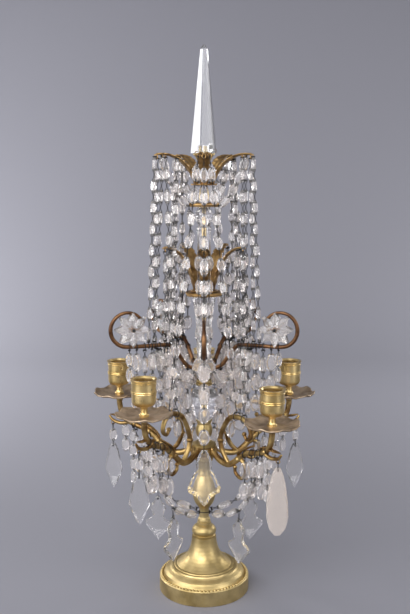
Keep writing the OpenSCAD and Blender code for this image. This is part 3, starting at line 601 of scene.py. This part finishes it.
def rosette(radius, thick):
    """The front of each petal has a valley, a ridge, a tip and a foot at the boss."""
    n = STAR_POINTS
    step = 2 * math.pi / n

    def at(share, height, turn):
        r, a = share * radius, step * turn
        return (r * math.cos(a), r * math.sin(a), height * thick)

    verts = [at(0, STAR_BOSS, 0)]
    for k in range(n):
        verts += [at(share, height, k + turn) for share, height, turn in STAR_FRONT]
    faces = []
    for k in range(n):
        v, m, t, c = (1 + 4 * k + q for q in range(4))
        v2, c2 = 1 + 4 * ((k + 1) % n), 4 + 4 * ((k + 1) % n)
        faces += [(v, t, m), (m, t, v2), (c, v, m), (c, m, v2), (c, v2, c2), (0, c, c2)]
    back = len(verts)
    for k in range(n):
        verts += [at(STAR_VALLEY, 0, k - 0.5), at(1, STAR_TIP_BACK, k)]
    for k in range(n):
        v, t, v2 = back + 2 * k, back + 2 * k + 1, back + 2 * ((k + 1) % n)
        fv, ft, fv2 = 1 + 4 * k, 3 + 4 * k, 1 + 4 * ((k + 1) % n)
        faces += [(t, v, v2), (fv, v, t, ft), (ft, t, v2, fv2)]
    faces.append(tuple(back + 2 * k for k in range(n - 1, -1, -1)))
    return verts, faces


def heading(bearing):
    """The unit vector along a bearing."""
    return Vector((math.cos(math.radians(bearing)), math.sin(math.radians(bearing)), 0))


def rosette_set():
    """Stars on both sides of each rosette arm, their backs to the arm."""
    heap = Heap()
    for cloud in solids("rosettes"):
        centre, _, (across, _, thick) = axes_of(cloud)
        centre = Vector(centre)
        out = heading(max(LEAF_BEARINGS, key=lambda d: heading(d).dot(centre)))
        side = Vector((-out.y, out.x, 0))
        if centre.dot(side) < 0:
            side = -side
        star = rosette(across / MM / 2, thick / MM)
        heap.add(*star, placer(centre - side * thick / 2, out, side.cross(out), side))
    lay("rosettes_cut", heap.verts, heap.faces, STAR, node="rosettes")


rosette_set()


PIN_HEAD = [(0, 0.5), (0.4, 1.5), (1.2, 2.0), (1.7, 2.0), (1.8, 1.4)]


def pin_set():
    """Riveted pins: a thin shank with a small domed head at each end."""
    heap = Heap()
    for cloud in solids("rosette_pins"):
        centre, (way, b, c), (length, _, _) = axes_of(cloud)
        outline = [(length / MM / 2 - inset, r) for inset, r in PIN_HEAD]
        ends = [(-z, r) for z, r in outline] + outline[::-1]
        verts, faces = sweep([(0, 0, z) for z, _ in ends], [r for _, r in ends], 12)
        heap.add(verts, faces, placer(centre, b, c, way))
    lay("rosette_pins_riveted", heap.verts, heap.faces, WIRE, smooth=True, node="rosette_pins")


pin_set()


# Leaves: lobed, ribbed and cupped

LEAF_THICK = 0.9
LEAF_ROOT, LEAF_BELLY = 0.34, 0.56
TIP_FROM, TIP_NARROW = 0.84, 0.72
TEETH_FROM, TEETH_TO, TOOTH, TIP_TOOTH = 0.12, 0.94, 0.34, 0.1
RIB_HIGH, RIB_WIDE, VEIN = 0.9, 0.12, 0.84
LEAF_CUP, LEAF_SWEPT = 1.7, 2.2


def leaf_grid(line, half, lobes, rows=54, cols=12):
    """Points and faces of one leaf, whose midrib runs along a curve in local X and Z."""
    def width(t):
        body = LEAF_ROOT + LEAF_BELLY * math.sin(math.pi * min(t, 0.97)) ** 0.7
        if t > TIP_FROM:
            body *= 1 - TIP_NARROW * ((t - TIP_FROM) / (1 - TIP_FROM)) ** 1.4
        return half * body

    verts, faces = [], []
    for sign in (1, -1):
        for i in range(rows + 1):
            t = i / rows
            c = bezier(line, t)
            d = bezier(line, min(1, t + 0.01)) - bezier(line, max(0, t - 0.01))
            d /= np.linalg.norm(d)
            phase = (t * lobes) % 1
            bite = TOOTH * phase ** 1.6 if TEETH_FROM < t < TEETH_TO else TIP_TOOTH * phase
            for j in range(cols + 1):
                q = 2 * j / cols - 1
                w = q * width(t) * (1 - bite * abs(q) ** 1.5)
                vein = VEIN * math.cos(phase * 2 * math.pi) * (1 - abs(q)) * abs(q)
                rib = RIB_HIGH * math.exp(-(q / RIB_WIDE) ** 2) - vein
                up = LEAF_CUP * q * q + rib + sign * LEAF_THICK / 2
                lag = -LEAF_SWEPT * abs(q) ** 1.3 * (0.4 + t)
                verts.append((c[0] - d[1] * up + d[0] * lag, w, c[1] + d[0] * up + d[1] * lag))
    k = (rows + 1) * (cols + 1)

    def at(i, j):
        return i * (cols + 1) + j

    for i in range(rows):
        for j in range(cols):
            quad = (at(i, j), at(i + 1, j), at(i + 1, j + 1), at(i, j + 1))
            faces.append(quad)
            faces.append(tuple(k + q for q in quad[::-1]))
        faces.append((at(i + 1, 0), at(i, 0), k + at(i, 0), k + at(i + 1, 0)))
        faces.append((at(i, cols), at(i + 1, cols), k + at(i + 1, cols), k + at(i, cols)))
    for j in range(cols):
        faces.append((at(0, j), at(0, j + 1), k + at(0, j + 1), k + at(0, j)))
        faces.append((at(rows, j + 1), at(rows, j), k + at(rows, j), k + at(rows, j + 1)))
    return verts, faces


BORE = 3.2
EYE_R, EYE_WIRE = 2.2, 0.55
LEAF_HALF, LEAF_LOBES = 9.4, 8
TIP_EYE = (0.94, 0, -0.3)
SIDE_EYES = [(0.8, 6.6, 0.8), (0.8, -6.6, 0.8)]
UPPER_LINE = [(12, 1), (20, 28), (42.2, 39.5), (62, 35)]
LOWER_LINE = [(13, 1), (19, 32.4), (32.9, 58.3), (53, 54)]
UPPER_PLATE, LOWER_PLATE = 16, 17


def leaf_crown(node, line, plate, eyes):
    """A round plate with a leaf on each bearing; eyes give a place along the leaf, across it and up."""
    heap = Heap()
    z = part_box(node)[0][2] / MM
    rim = [(plate - 0.5, 0), (plate, 0.6), (plate, 1.5), (plate - 0.6, 2)]
    heap.add(*lathe([(BORE, 0), *rim, (BORE, 2)], 48), turned_by(0, z))
    leaf = leaf_grid(line, LEAF_HALF, LEAF_LOBES)
    verts, faces = ring_wire(EYE_R, EYE_WIRE)
    for bearing in LEAF_BEARINGS:
        place = turned_by(bearing, z)
        heap.add(*leaf, place)
        for t, across, rise in eyes:
            x, height = bezier(line, t)
            heap.add(shifted(verts, (x, across, height - EYE_R + rise)), faces, place)
    lay(node + "_chased", heap.verts, heap.faces, LEAF_BRASS, smooth=True, node=node)


leaf_crown("upper_leaves", UPPER_LINE, UPPER_PLATE, [TIP_EYE, *SIDE_EYES])
leaf_crown("lower_leaves", LOWER_LINE, LOWER_PLATE, [TIP_EYE])


# Candle arms, as smooth castings with the CAD's own lines

TENON_Z, TENON_H, TENON_W, TENON_IN, TENON_OUT = 185.5, 9.0, 5.6, 8.6, 18
LOW_Z = TENON_Z - 8
SEAT_Z = 247.0
PAN_Z = SEAT_Z - 1.4
SCROLL_TOP = SEAT_Z - 5
REACH = 117.0
MAIN = [(16, TENON_Z, 3.8), (30, LOW_Z, 4), (46, LOW_Z, 3.8), (62, LOW_Z + 12, 3.6),
        (77, LOW_Z + 24, 3.45), (94, LOW_Z + 29.5, 3.4), (106, LOW_Z + 35, 3.4),
        (114, PAN_Z - 24, 3.4), (REACH, PAN_Z - 11, 3.6), (REACH, PAN_Z - 6, 3.6)]
SCROLL = [(46, LOW_Z, 2.6), (36, LOW_Z + 10, 2.9), (30, LOW_Z + 26, 3), (35, SCROLL_TOP - 22, 3),
          (46, SCROLL_TOP - 6, 3), (58, SCROLL_TOP - 1, 3), (71, SCROLL_TOP - 1, 3),
          (80, SCROLL_TOP - 8, 2.8), (83, SCROLL_TOP - 19, 2.5), (76, SCROLL_TOP - 24, 2.2),
          (71, SCROLL_TOP - 18, 1.9)]
CURL = [(64, LOW_Z + 13.5, 2.6), (73, LOW_Z + 8, 2.7), (74, LOW_Z - 3, 2.6), (66, LOW_Z - 11, 2.4),
        (57, LOW_Z - 7, 2.1), (56, LOW_Z + 0.5, 1.8)]
SPRIG = [(103, LOW_Z + 33, 2.6), (115, LOW_Z + 30, 2.4), (127, LOW_Z + 33, 2), (132, LOW_Z + 39, 1.3)]
SCROLL_BUDS = [(71.6, SCROLL_TOP - 18.6, 2.9), (56, LOW_Z - 0.4, 2.8)]
SPRIG_EYE = (127, LOW_Z + 33 - 2 - EYE_R + 0.7)
EYE_TURN = [-40, 36, 90, 0, -90]
ARM_COLLAR = [(0.02, -8), (3.7, -8), (4.4, -5.4), (4.2, -3.6), (5.5, -1.2), (5.5, 0), (2.2, 0), (2.2, 9.9),
              (0.02, 9.9)]
OUTER_LEAF = [(100, LOW_Z + 36), (108, LOW_Z + 42), (117, LOW_Z + 36), (131, LOW_Z + 40.5)]
INNER_LEAF = [(62, LOW_Z + 16), (68, LOW_Z + 26), (80, LOW_Z + 30), (90, LOW_Z + 37)]
ARM_LEAVES = [(OUTER_LEAF, 4.2), (INNER_LEAF, 4.0)]
ARM_STEPS, COLLAR_SIDES = 8, 24
BAND_EXTRA, BAND_SQUASH = 1.3, 0.8
LIFT_FROM = 24
CUP_H, CANDLE_HALF = 44, 12.5


def arm_place(i):
    """Bearing and lift of a candle arm, from its candle hole."""
    mount = next(m for m in frame["record"]["mounts"] if m["name"] == f"candle_{i}")
    x, y, z = mount["pos_m"]
    return math.degrees(math.atan2(y, x)), z / MM - (SEAT_Z + CUP_H - CANDLE_HALF)


def lifted(x, z, lift):
    """The height of a point on an arm that rises evenly towards its end."""
    return z + lift * max(0, x - LIFT_FROM) / (REACH - LIFT_FROM)


def box_mesh(low, high):
    """A plain box between two corners."""
    x0, y0, z0 = low
    x1, y1, z1 = high
    verts = [(x, y, z) for z in (z0, z1) for x, y in ((x0, y0), (x1, y0), (x1, y1), (x0, y1))]
    return verts, [(3, 2, 1, 0), (4, 5, 6, 7), (0, 1, 5, 4), (1, 2, 6, 5), (2, 3, 7, 6), (3, 0, 4, 7)]


def candle_arm(i):
    """One arm with its tenon, scrolls, sprig, collar and eye, and the leaves chased on it."""
    bearing, lift = arm_place(i)
    place = turned_by(bearing)
    heap = Heap()

    def raised(p):
        return p[0], 0, lifted(p[0], p[1], lift)

    for line, sides in ((MAIN, 16), (SCROLL, 14), (CURL, 12), (SPRIG, 12)):
        pts = spline(line, ARM_STEPS)
        heap.add(*sweep([raised(p) for p in pts], [p[2] for p in pts], sides), place)
    for bud in SCROLL_BUDS:
        verts, faces = ball(bud[2])
        heap.add(shifted(verts, raised(bud)), faces, place)
    for band in (MAIN[3], SCROLL[2], MAIN[6]):
        verts, faces = ball(band[2] + BAND_EXTRA, squash=BAND_SQUASH)
        heap.add(shifted(verts, raised(band)), faces, place)
    tenon_low = (TENON_IN, -TENON_W / 2, TENON_Z - TENON_H / 2)
    tenon_high = (TENON_OUT, TENON_W / 2, TENON_Z + TENON_H / 2)
    heap.add(*box_mesh(tenon_low, tenon_high), place)
    verts, faces = lathe(ARM_COLLAR, COLLAR_SIDES)
    heap.add(shifted(verts, (REACH, 0, PAN_Z + lift)), faces, place)
    verts, faces = ring_wire(EYE_R, EYE_WIRE)
    turn = math.radians(EYE_TURN[i - 1])
    cos, sin = math.cos(turn), math.sin(turn)
    eye = [(v[0] * cos - v[1] * sin, v[0] * sin + v[1] * cos, v[2]) for v in verts]
    heap.add(shifted(eye, raised(SPRIG_EYE)), faces, place)
    lay(f"candle_arm_{i}_cast", heap.verts, heap.faces, ARM_BRASS, smooth=True, node=f"candle_arm_{i}")
    wrap = Heap()
    for line, half in ARM_LEAVES:
        verts, faces = leaf_grid(line, half, 5, rows=26, cols=8)
        wrap.add([(v[0], v[1], lifted(v[0], v[2], lift)) for v in verts], faces, place)
    lay(f"candle_arm_{i}_leaves", wrap.verts, wrap.faces, LEAF_BRASS, smooth=True)


PAN_R, PAN_BORE, PETALS = 33.5, 2.25, 8
PAN_THICK, PAN_LIP, PAN_SCALLOP = 1.3, 0.7, 2.6
PAN_DISH, PAN_RIM, PAN_RIPPLE = 1.2, 4.2, 0.5
PAN_SIDES, PAN_RINGS = 128, 18


def drip_pan(i):
    """A dished pan whose rim waves up and down and in and out with its petals."""
    bearing, lift = arm_place(i)
    sides, rings = PAN_SIDES, PAN_RINGS
    turn = math.radians(rng.uniform(0, 360 / PETALS))

    def height(r, a):
        q = r / PAN_R
        dish = -PAN_DISH * math.sin(math.pi * min(1, max(0, (q - 0.25) / 0.45))) if q < 0.7 else 0
        rim = PAN_RIM * max(0, (q - 0.55) / 0.45) ** 1.6
        wave = math.cos(PETALS * (a + turn))
        ripple = PAN_RIPPLE * max(0, q - 0.3) * math.cos(2 * PETALS * a)
        return dish + rim * (0.78 + 0.24 * wave) + ripple

    verts, faces = [], []
    for sign in (1, 0):
        for j in range(rings + 1):
            for k in range(sides):
                a = 2 * math.pi * k / sides
                wave = abs(math.cos(PETALS / 2 * (a + turn)))
                edge = PAN_R - PAN_SCALLOP * (1 - wave) ** 1.3
                r = PAN_BORE + (edge - PAN_BORE) * j / rings
                lip = PAN_LIP if j >= rings - 1 else 0
                verts.append((r * math.cos(a), r * math.sin(a), height(r, a) + (PAN_THICK + lip) * sign))
    n = (rings + 1) * sides
    for j in range(rings):
        for k in range(sides):
            m = (k + 1) % sides
            quad = (j * sides + k, (j + 1) * sides + k, (j + 1) * sides + m, j * sides + m)
            faces.append(quad)
            faces.append(tuple(n + q for q in quad[::-1]))
    for k in range(sides):
        m = (k + 1) % sides
        faces.append((rings * sides + m, rings * sides + k, n + rings * sides + k, n + rings * sides + m))
        faces.append((k, m, n + m, n + k))
    place = turned_by(bearing)
    points = [place(v) for v in shifted(verts, (REACH, 0, PAN_Z + lift))]
    lay(f"drip_pan_{i}_petals", points, faces, PAN_BRASS, smooth=True, node=f"drip_pan_{i}")


CUP_PILLAR = [(2.35, 0), (6, 0), (6, 1.6), (4.8, 2.6), (4.1, 5), (4.1, 9.4), (5.4, 10.8)]
CUP_BOWL = bezier_run([(5.4, 11.8), (11.6, 12.2), (14.2, 14.4), (14.2, 19.4)], 10)
CUP_BANDS = [(14.2, 26.8), (14.8, 27.2), (15, 27.8), (14.8, 28.4), (14.25, 28.8), (14.8, 29.2), (15, 29.8),
             (14.8, 30.4), (14.2, 30.8), (14.2, 38.6), (14.7, 39.1), (14.7, 40), (14.2, 40.5)]
CUP_LIP = [(14.3, 41.8), (15.4, 42.9), (15.4, CUP_H), (13.2, CUP_H)]
CUP_INSIDE = [(11.6, 42), (11.6, 19), (0.02, 19), (0.02, 9), (2.35, 9)]
CUP = CUP_PILLAR + CUP_BOWL + CUP_BANDS + CUP_LIP + CUP_INSIDE
CUP_SIDES = 64
CUP_SHARP = math.radians(35)


def candle_cup(i):
    """A turned cup on its pillar, with crisp edges at the bands and the lip."""
    bearing, lift = arm_place(i)
    verts, faces = lathe(CUP, CUP_SIDES)
    place = turned_by(bearing)
    points = [place(v) for v in shifted(verts, (REACH, 0, SEAT_Z + lift))]
    obj = lay(f"candle_cup_{i}_turned", points, faces, CUP_BRASS, smooth=True, node=f"candle_cup_{i}")
    obj.data.set_sharp_from_angle(angle=CUP_SHARP)


for arm in range(1, ARMS + 1):
    candle_arm(arm)
    drip_pan(arm)
    candle_cup(arm)


# Rosette arms, smooth along the CAD's own line

ROD_R, ROD_Z, ROOT_Z, EYE_X, CURL_R = 2.5, 322.0, 291.0, 91.0, 21
CURL_X, CURL_Z = EYE_X + 6, ROD_Z + CURL_R
CURL_TAPER = 500


def curl_point(turn):
    """A point on the rod's round end, which gets thinner as it turns over."""
    a = math.radians(turn)
    thin = 1 - max(0, turn) / CURL_TAPER
    return CURL_X + CURL_R * math.cos(a), CURL_Z + CURL_R * math.sin(a), ROD_R * thin


ROD_RUN = [(x, z, ROD_R) for x, z in
           ((9, ROOT_Z), (13, ROOT_Z), (15.5, ROOT_Z), (24, ROOT_Z + 5), (35, ROD_Z - 10),
            (43, ROD_Z - 1.5), (50, ROD_Z), (64, ROD_Z), (76, ROD_Z))]
ROD_CURL = [curl_point(turn) for turn in range(-90, 121, 30)]
ROD_END = [(EYE_X - 13, CURL_Z + 9, 1.7), (EYE_X - 9, CURL_Z + 1, 1.6), (EYE_X - 1, CURL_Z, 1.6)]
ROD_LINE = ROD_RUN + ROD_CURL + ROD_END
ROD_STEPS, ROD_SIDES, BUSH_SIDES = 6, 14, 24
EYE_BUSH = [(1.55, -2.8), (3.4, -2.8), (4, -2.2), (4, 2.2), (3.4, 2.8), (1.55, 2.8)]


def rosette_arm(k):
    """A rod that curls over and ends in an eye for the pin."""
    place = turned_by(LEAF_BEARINGS[k])
    heap = Heap()
    pts = spline(ROD_LINE, ROD_STEPS)
    heap.add(*sweep([(x, 0, z) for x, z, _ in pts], [r for _, _, r in pts], ROD_SIDES), place)
    verts, faces = lathe(EYE_BUSH, BUSH_SIDES)
    lying = [(x, z, y) for x, y, z in verts]
    heap.add(shifted(lying, (EYE_X, 0, CURL_Z)), [f[::-1] for f in faces], place)
    lay(f"rosette_arm_{k + 1}_rod", heap.verts, heap.faces, COPPER, smooth=True,
        node=f"rosette_arm_{k + 1}")


for k in range(ARMS):
    rosette_arm(k)


# More strings, hung between those that the CAD carries

BEAD = (9.0, 16.0, 5.2)
SMALL = (10.0, 17.0, 5.4)
OVAL = (14.5, 24.0, 6.8)
HOLE_INSET = 2.6
MORE_LINK_HALF, MORE_LINK_EXTRA = 2.6, 0.8
DROP_LINK = 7.0
TIE_GAP, TIE_WIRE, TIE_STEPS, TIE_SIDES = 1.0, 0.5, 18, 6
SAG_STEPS = 24
more_glass, more_wire = Heap(), Heap()


def polar(r, bearing, z, across=0.0):
    """A point at a radius and a height, moved across the bearing."""
    c, s = math.cos(math.radians(bearing)), math.sin(math.radians(bearing))
    return Vector((r * c - across * s, r * s + across * c, z))


def sagging(start, end, sag):
    """A line between two points that hangs down by sag in its middle."""
    shares = [k / SAG_STEPS for k in range(SAG_STEPS + 1)]
    return [start.lerp(end, t) - Vector((0, 0, sag * 4 * t * (1 - t))) for t in shares]


def run_along(line, at):
    """The point that lies a given way along a line."""
    for a, b in zip(line, line[1:]):
        step = (b - a).length
        if at <= step:
            return a.lerp(b, at / step)
        at -= step
    return line[-1].copy()


def chain(line, count, size, facing, lead=None, tail=None):
    """Beads and links along a line in millimetres; lead and tail set the end links."""
    length = sum((b - a).length for a, b in zip(line, line[1:]))
    hold = size[1] - 2 * HOLE_INSET
    shared = count - 1 + (lead is None) + (tail is None)
    gap = (length - count * hold - (lead or 0) - (tail or 0)) / max(1, shared)
    if size == OVAL:
        bead = cut_bead(*size, ALMOND)
    else:
        bead = cut_bead(size[0] * SWELL, size[1] * SWELL, size[2], FACETED)
    at = 0.0

    def span(reach):
        a, b = run_along(line, at), run_along(line, at + reach)
        way = (b - a).normalized()
        face = polar(1, facing, 0)
        face = (face - way * face.dot(way)).normalized()
        return (a + b) / 2, (b - a).length, way, face, face.cross(way)

    for j in range(count + 1):
        link = gap
        if j == 0 and lead is not None:
            link = lead
        if j == count and tail is not None:
            link = tail
        if link > 0:
            mid, long, way, face, side = span(link)
            long += MORE_LINK_EXTRA
            more_wire.add(*pinched_loop(long, MORE_LINK_HALF), placer(mid * MM, side, face, way))
            knots(more_wire, mid * MM, side, way, face, long)
        at += link
        if j < count:
            mid, _, way, face, side = span(hold)
            more_glass.add(*bead, placer(mid * MM, *twisted(side, face), way))
            at += hold


def rod_tie(r, bearing, z, tube):
    """A wire ring round a rod that runs outwards."""
    verts, faces = ring_wire(tube + TIE_GAP, TIE_WIRE, TIE_STEPS, TIE_SIDES)
    more_wire.add(shifted(verts, (r, 0, z)), faces, turned_by(bearing))


def drop(r, bearing, z, tube, count, size, facing):
    """A free string hung from a ring round a rod."""
    rod_tie(r, bearing, z, tube)
    top = polar(r, bearing, z - tube - TIE_GAP)
    fall = count * (size[1] - 2 * HOLE_INSET + DROP_LINK)
    chain([top, top - Vector((0, 0, fall))], count, size, facing, tail=0)


UPPER_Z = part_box("upper_leaves")[0][2] / MM
LOWER_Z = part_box("lower_leaves")[0][2] / MM
DISH_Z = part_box("upper_dish")[0][2] / MM
SIDE_DROPS = [(22, 4, OVAL), (35, 4, OVAL), (47, 4, OVAL), (67, 3, OVAL), (86, 3, OVAL), (95, 2, SMALL)]
FRONT_DROPS = [(35, 2, OVAL), (84, 1, OVAL)]
ARM_DROPS = [(73, 2, OVAL), (84, 2, OVAL), (101, 2, OVAL), (110, 3, SMALL)]
SIDE_ARM_DROPS = [(73, 3, OVAL), (83, 4, SMALL), (98, 4, SMALL), (109, 2, SMALL)]
QUARTER_TURN = {198: 45, -18: -45}
TIP_TIE, EDGE_TIE, SWAG_TIE, DISH_TIE = 71, 44, 61, 18.5
LEAF_EDGE = 7.4
LOW_FALL, LEAF_SAG, ROD_SAG = 104, 12, 34
CURTAIN_COUNT, SWAG_COUNT, LOW_COUNT = 9, 4, 4
END_LINK, LEAF_LINK, LOW_LINK = 4, 5, 8


def height_on(line, r):
    """Height and half thickness of a rod's line at a radius."""
    return min(spline(line, 12), key=lambda p: abs(p[0] - r))[1:]


def upper_strings(bearing):
    """Strings from the tip and edge of an upper leaf, and a swag from it to the dish."""
    x, z = bezier(UPPER_LINE, 1.0)
    ends = [polar(x - 0.6, bearing, UPPER_Z + z - 1), polar(TIP_TIE, bearing, ROD_Z + 4.2)]
    chain(ends, CURTAIN_COUNT, BEAD, bearing, lead=END_LINK, tail=END_LINK)
    x, z = bezier(UPPER_LINE, 0.86)
    ends = [polar(x, bearing, UPPER_Z + z - 1), polar(DISH_TIE, bearing, DISH_Z + 1)]
    chain(sagging(*ends, LEAF_SAG), SWAG_COUNT, SMALL, bearing + 90, lead=LEAF_LINK, tail=END_LINK)
    x, z = bezier(UPPER_LINE, 0.56)
    ends = [polar(x, bearing, UPPER_Z + z, LEAF_EDGE), polar(EDGE_TIE, bearing, ROD_Z + 3.2, 2.2)]
    chain(ends, CURTAIN_COUNT, BEAD, bearing + 7, lead=END_LINK, tail=END_LINK)


def lower_strings(bearing):
    """Free strings from both edges of a lower leaf."""
    x, z = bezier(LOWER_LINE, 0.84)
    for across in (-LEAF_EDGE, LEAF_EDGE):
        top = polar(x, bearing, LOWER_Z + z - 1, across * 0.8)
        ends = [top, top - Vector((0, 0, LOW_FALL))]
        chain(ends, LOW_COUNT, SMALL, bearing + across, lead=LOW_LINK, tail=0)


for bearing in LEAF_BEARINGS:
    rod_tie(TIP_TIE, bearing, ROD_Z, ROD_R)
    rod_tie(EDGE_TIE, bearing, ROD_Z - 1, ROD_R)
    if bearing != FRONT:
        upper_strings(bearing)
    lower_strings(bearing)
    for r, count, size in FRONT_DROPS if bearing == FRONT else SIDE_DROPS:
        drop(r, bearing, *height_on(ROD_RUN, r), count, size, bearing + QUARTER_TURN.get(bearing, 0))
    rod_tie(SWAG_TIE, bearing, ROD_Z, ROD_R)
    ends = [polar(SWAG_TIE, turn, ROD_Z - 3.5) for turn in (bearing, bearing + PITCH)]
    chain(sagging(*ends, ROD_SAG), SWAG_COUNT, OVAL, bearing + PITCH / 2)
for arm in range(1, ARMS + 1):
    bearing, lift = arm_place(arm)
    facing = EYE_TURN[arm - 1]
    for r, count, size in SIDE_ARM_DROPS if abs(facing) == 90 else ARM_DROPS:
        z, tube = height_on(MAIN, r)
        drop(r, bearing, lifted(r, z, lift), tube, count, size, bearing + facing)
lay("more_beads", more_glass.verts, more_glass.faces, GLASS)
lay("more_links", more_wire.verts, more_wire.faces, WIRE, smooth=True)


# Stem glass with cut rings and ribs

def stem_glass(node, profile, sides, ripple=None, smooth=False):
    """A turned glass piece, bored for the tie rod."""
    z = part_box(node)[0][2] / MM
    verts, faces = lathe([(BORE, profile[0][1]), *profile, (BORE, profile[-1][1])], sides, ripple)
    place = turned_by(0, z)
    lay(node + "_cut", [place(v) for v in verts], faces, SMOKY, smooth=smooth, node=node)


def flutes(count, depth, keep=4.0):
    """Hollows cut round a turned shape wherever it is wider than keep."""
    return lambda a, r, z: r - depth * (0.5 - 0.5 * math.cos(count * a)) * min(1, max(0, (r - keep) / 4))


def swelling(low, height, neck, swell, steps, ring=0.0):
    """An outline that swells between two necks, with three cut rings of the given depth."""
    def radius(t):
        return neck + swell * math.sin(math.pi * t) + ring * math.sin(6 * math.pi * t - math.pi / 2)
    return [(radius(k / steps), low + height * k / steps) for k in range(steps + 1)]


KNOP = [(10, 0), *swelling(2, 40, 11, 7, 36, ring=0.8), (10, 44)]
COLUMN_RISE = bezier_run([(9, 5), (8, 29), (10, 58), (14.5, 80)], 16)
COLUMN = [(9, 0), (9.8, 1), (9.8, 3), (9, 4), *COLUMN_RISE, (14.5, 83)]
BOWL = [(10, 0), *bezier_run([(12, 0.4), (23.5, 2), (23.5, 14.7), (12, 20.6)], 16), (11, 21)]
BALL = [(7, 0), *swelling(0.6, 26.8, 7, 8, 14), (7, 28)]
DISH_KNOP = [(7, 0), *swelling(1, 22, 7, 4.5, 10), (7, 24)]
stem_glass("glass_knop", KNOP, 64, smooth=True)
stem_glass("glass_column", COLUMN, 96, flutes(12, 1.3), smooth=True)
stem_glass("glass_bowl", BOWL, 144, flutes(18, 1.7, 9), smooth=True)
stem_glass("glass_ball", BALL, 12)
stem_glass("dish_knop", DISH_KNOP, 12)


# Beading on the foot and dishes

def beading(name, radius, z, count, size, mat):
    """A row of small balls round the stem."""
    heap = Heap()
    verts, faces = ball(size, 5, 8)
    for k in range(count):
        a = 2 * math.pi * k / count
        spot = (radius * math.cos(a), radius * math.sin(a), z)
        heap.add(shifted(verts, spot), faces, turned_by(0))
    lay(name, heap.verts, heap.faces, mat, smooth=True)


beading("foot_beading", 55.0, 19.7, 76, 1.8, BRASS)
beading("upper_dish_beading", 17.6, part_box("upper_dish")[0][2] / MM + 1.3, 40, 1.25, LEAF_BRASS)
beading("lower_dish_beading", 20.6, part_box("lower_dish")[0][2] / MM + 1.3, 46, 1.25, LEAF_BRASS)


# Finishes of the CAD pieces that show as they are

FINISHES = [(BRASS, ["foot", "neck_collar", "stem_baluster", "hub_knob", "stem_collar", "spire_cap"]),
            (ARM_BRASS, ["arm_hub", "rosette_hub"]),
            (LEAF_BRASS, ["lower_dish", "upper_dish"]),
            (CUP_BRASS, ["tie_rod"]),
            (WIRE, ["rod_fasteners"]),
            (SMOKY, ["glass_vase", "glass_tube"]),
            (SPIRE, ["spire"])]
for mat, names in FINISHES:
    for name in names:
        mesh = frame["nodes"][name].data
        mesh.materials.clear()
        mesh.materials.append(mat)


# Stage, light and camera

PAPER_GREY, PAPER_ROUGH, PAPER_SHEEN = srgb(128, 128, 136), 0.9, 0.2
AMBIENT, AMBIENT_POWER = (0.64, 0.63, 0.65, 1), 0.46
LENS, SENSOR = 50, 36
CAMERA_AT, CAMERA_TILT = (0.0012, -1.045, 0.521), math.radians(81.6)


def paper():
    """Matt grey paper."""
    mat, _, bsdf = blank("paper_grey")
    bsdf.inputs["Base Color"].default_value = PAPER_GREY
    bsdf.inputs["Roughness"].default_value = PAPER_ROUGH
    bsdf.inputs["Specular IOR Level"].default_value = PAPER_SHEEN
    return mat


def sweep_backdrop():
    """Floor that curves up into a wall behind the object."""
    width, near, far, tall, bend, steps = 3.4, -2.4, 2.6, 3.2, 1.2, 12
    turns = [math.pi / 2 * k / steps for k in range(1, steps + 1)]
    line = [(near, 0), (far - bend, 0)]
    line += [(far - bend + bend * math.sin(a), bend - bend * math.cos(a)) for a in turns]
    line.append((far, tall))
    verts = [(x, y, z) for y, z in line for x in (-width, width)]
    faces = [(2 * i, 2 * i + 1, 2 * i + 3, 2 * i + 2) for i in range(len(line) - 1)]
    mesh = bpy.data.meshes.new("backdrop")
    mesh.from_pydata(verts, [], faces)
    mesh.polygons.foreach_set("use_smooth", [True] * len(mesh.polygons))
    mesh.materials.append(paper())
    obj = bpy.data.objects.new("backdrop", mesh)
    bpy.context.scene.collection.objects.link(obj)


sweep_backdrop()


def soft_light(name, place, target, size, power):
    """A white panel of light that looks at a target."""
    data = bpy.data.lights.new(name, "AREA")
    data.shape = "RECTANGLE"
    data.size, data.size_y = size
    data.energy = power
    obj = bpy.data.objects.new(name, data)
    obj.location = place
    obj.rotation_euler = (Vector(target) - Vector(place)).to_track_quat("-Z", "Y").to_euler()
    bpy.context.scene.collection.objects.link(obj)


soft_light("left_box", (-1.4, -1.0, 0.8), (0, 0, 0.25), (1.5, 1.5), 26.5)
soft_light("right_box", (1.4, -1.1, 0.8), (0, 0, 0.3), (0.9, 1.4), 13)
soft_light("front_box", (-0.35, -1.7, 1.35), (0, 0, 0.25), (1.3, 0.9), 27)
soft_light("top_box", (-0.3, -0.2, 1.9), (0, 0, 0.3), (1.2, 0.9), 5)
soft_light("back_panel", (0.95, 0.9, 0.72), (0, 0, 0.6), (0.5, 0.7), 1.2)
soft_light("wall_box_left", (-1.4, 1.3, 0.6), (-0.9, 2.4, 0.45), (0.7, 0.6), 19)
soft_light("floor_box_left", (-1.1, 0.75, 0.6), (-0.6, 1.15, 0.0), (0.5, 0.4), 12.5)
soft_light("wall_box_right", (1.4, 1.3, 0.6), (0.9, 2.4, 0.45), (0.7, 0.6), 8)
soft_light("floor_box_right", (1.1, 0.75, 0.6), (0.6, 1.15, 0.0), (0.5, 0.4), 6)

world = bpy.data.worlds.new("studio")
world.use_nodes = True
background = world.node_tree.nodes["Background"]
background.inputs[0].default_value = AMBIENT
background.inputs[1].default_value = AMBIENT_POWER
scene = bpy.context.scene
scene.world = world
scene.view_settings.view_transform = "Standard"

cam_data = bpy.data.cameras.new("camera")
cam_data.lens = LENS
cam_data.sensor_width = SENSOR
cam = bpy.data.objects.new("camera", cam_data)
cam.location = CAMERA_AT
cam.rotation_euler = (CAMERA_TILT, 0, 0)
scene.collection.objects.link(cam)
scene.camera = cam
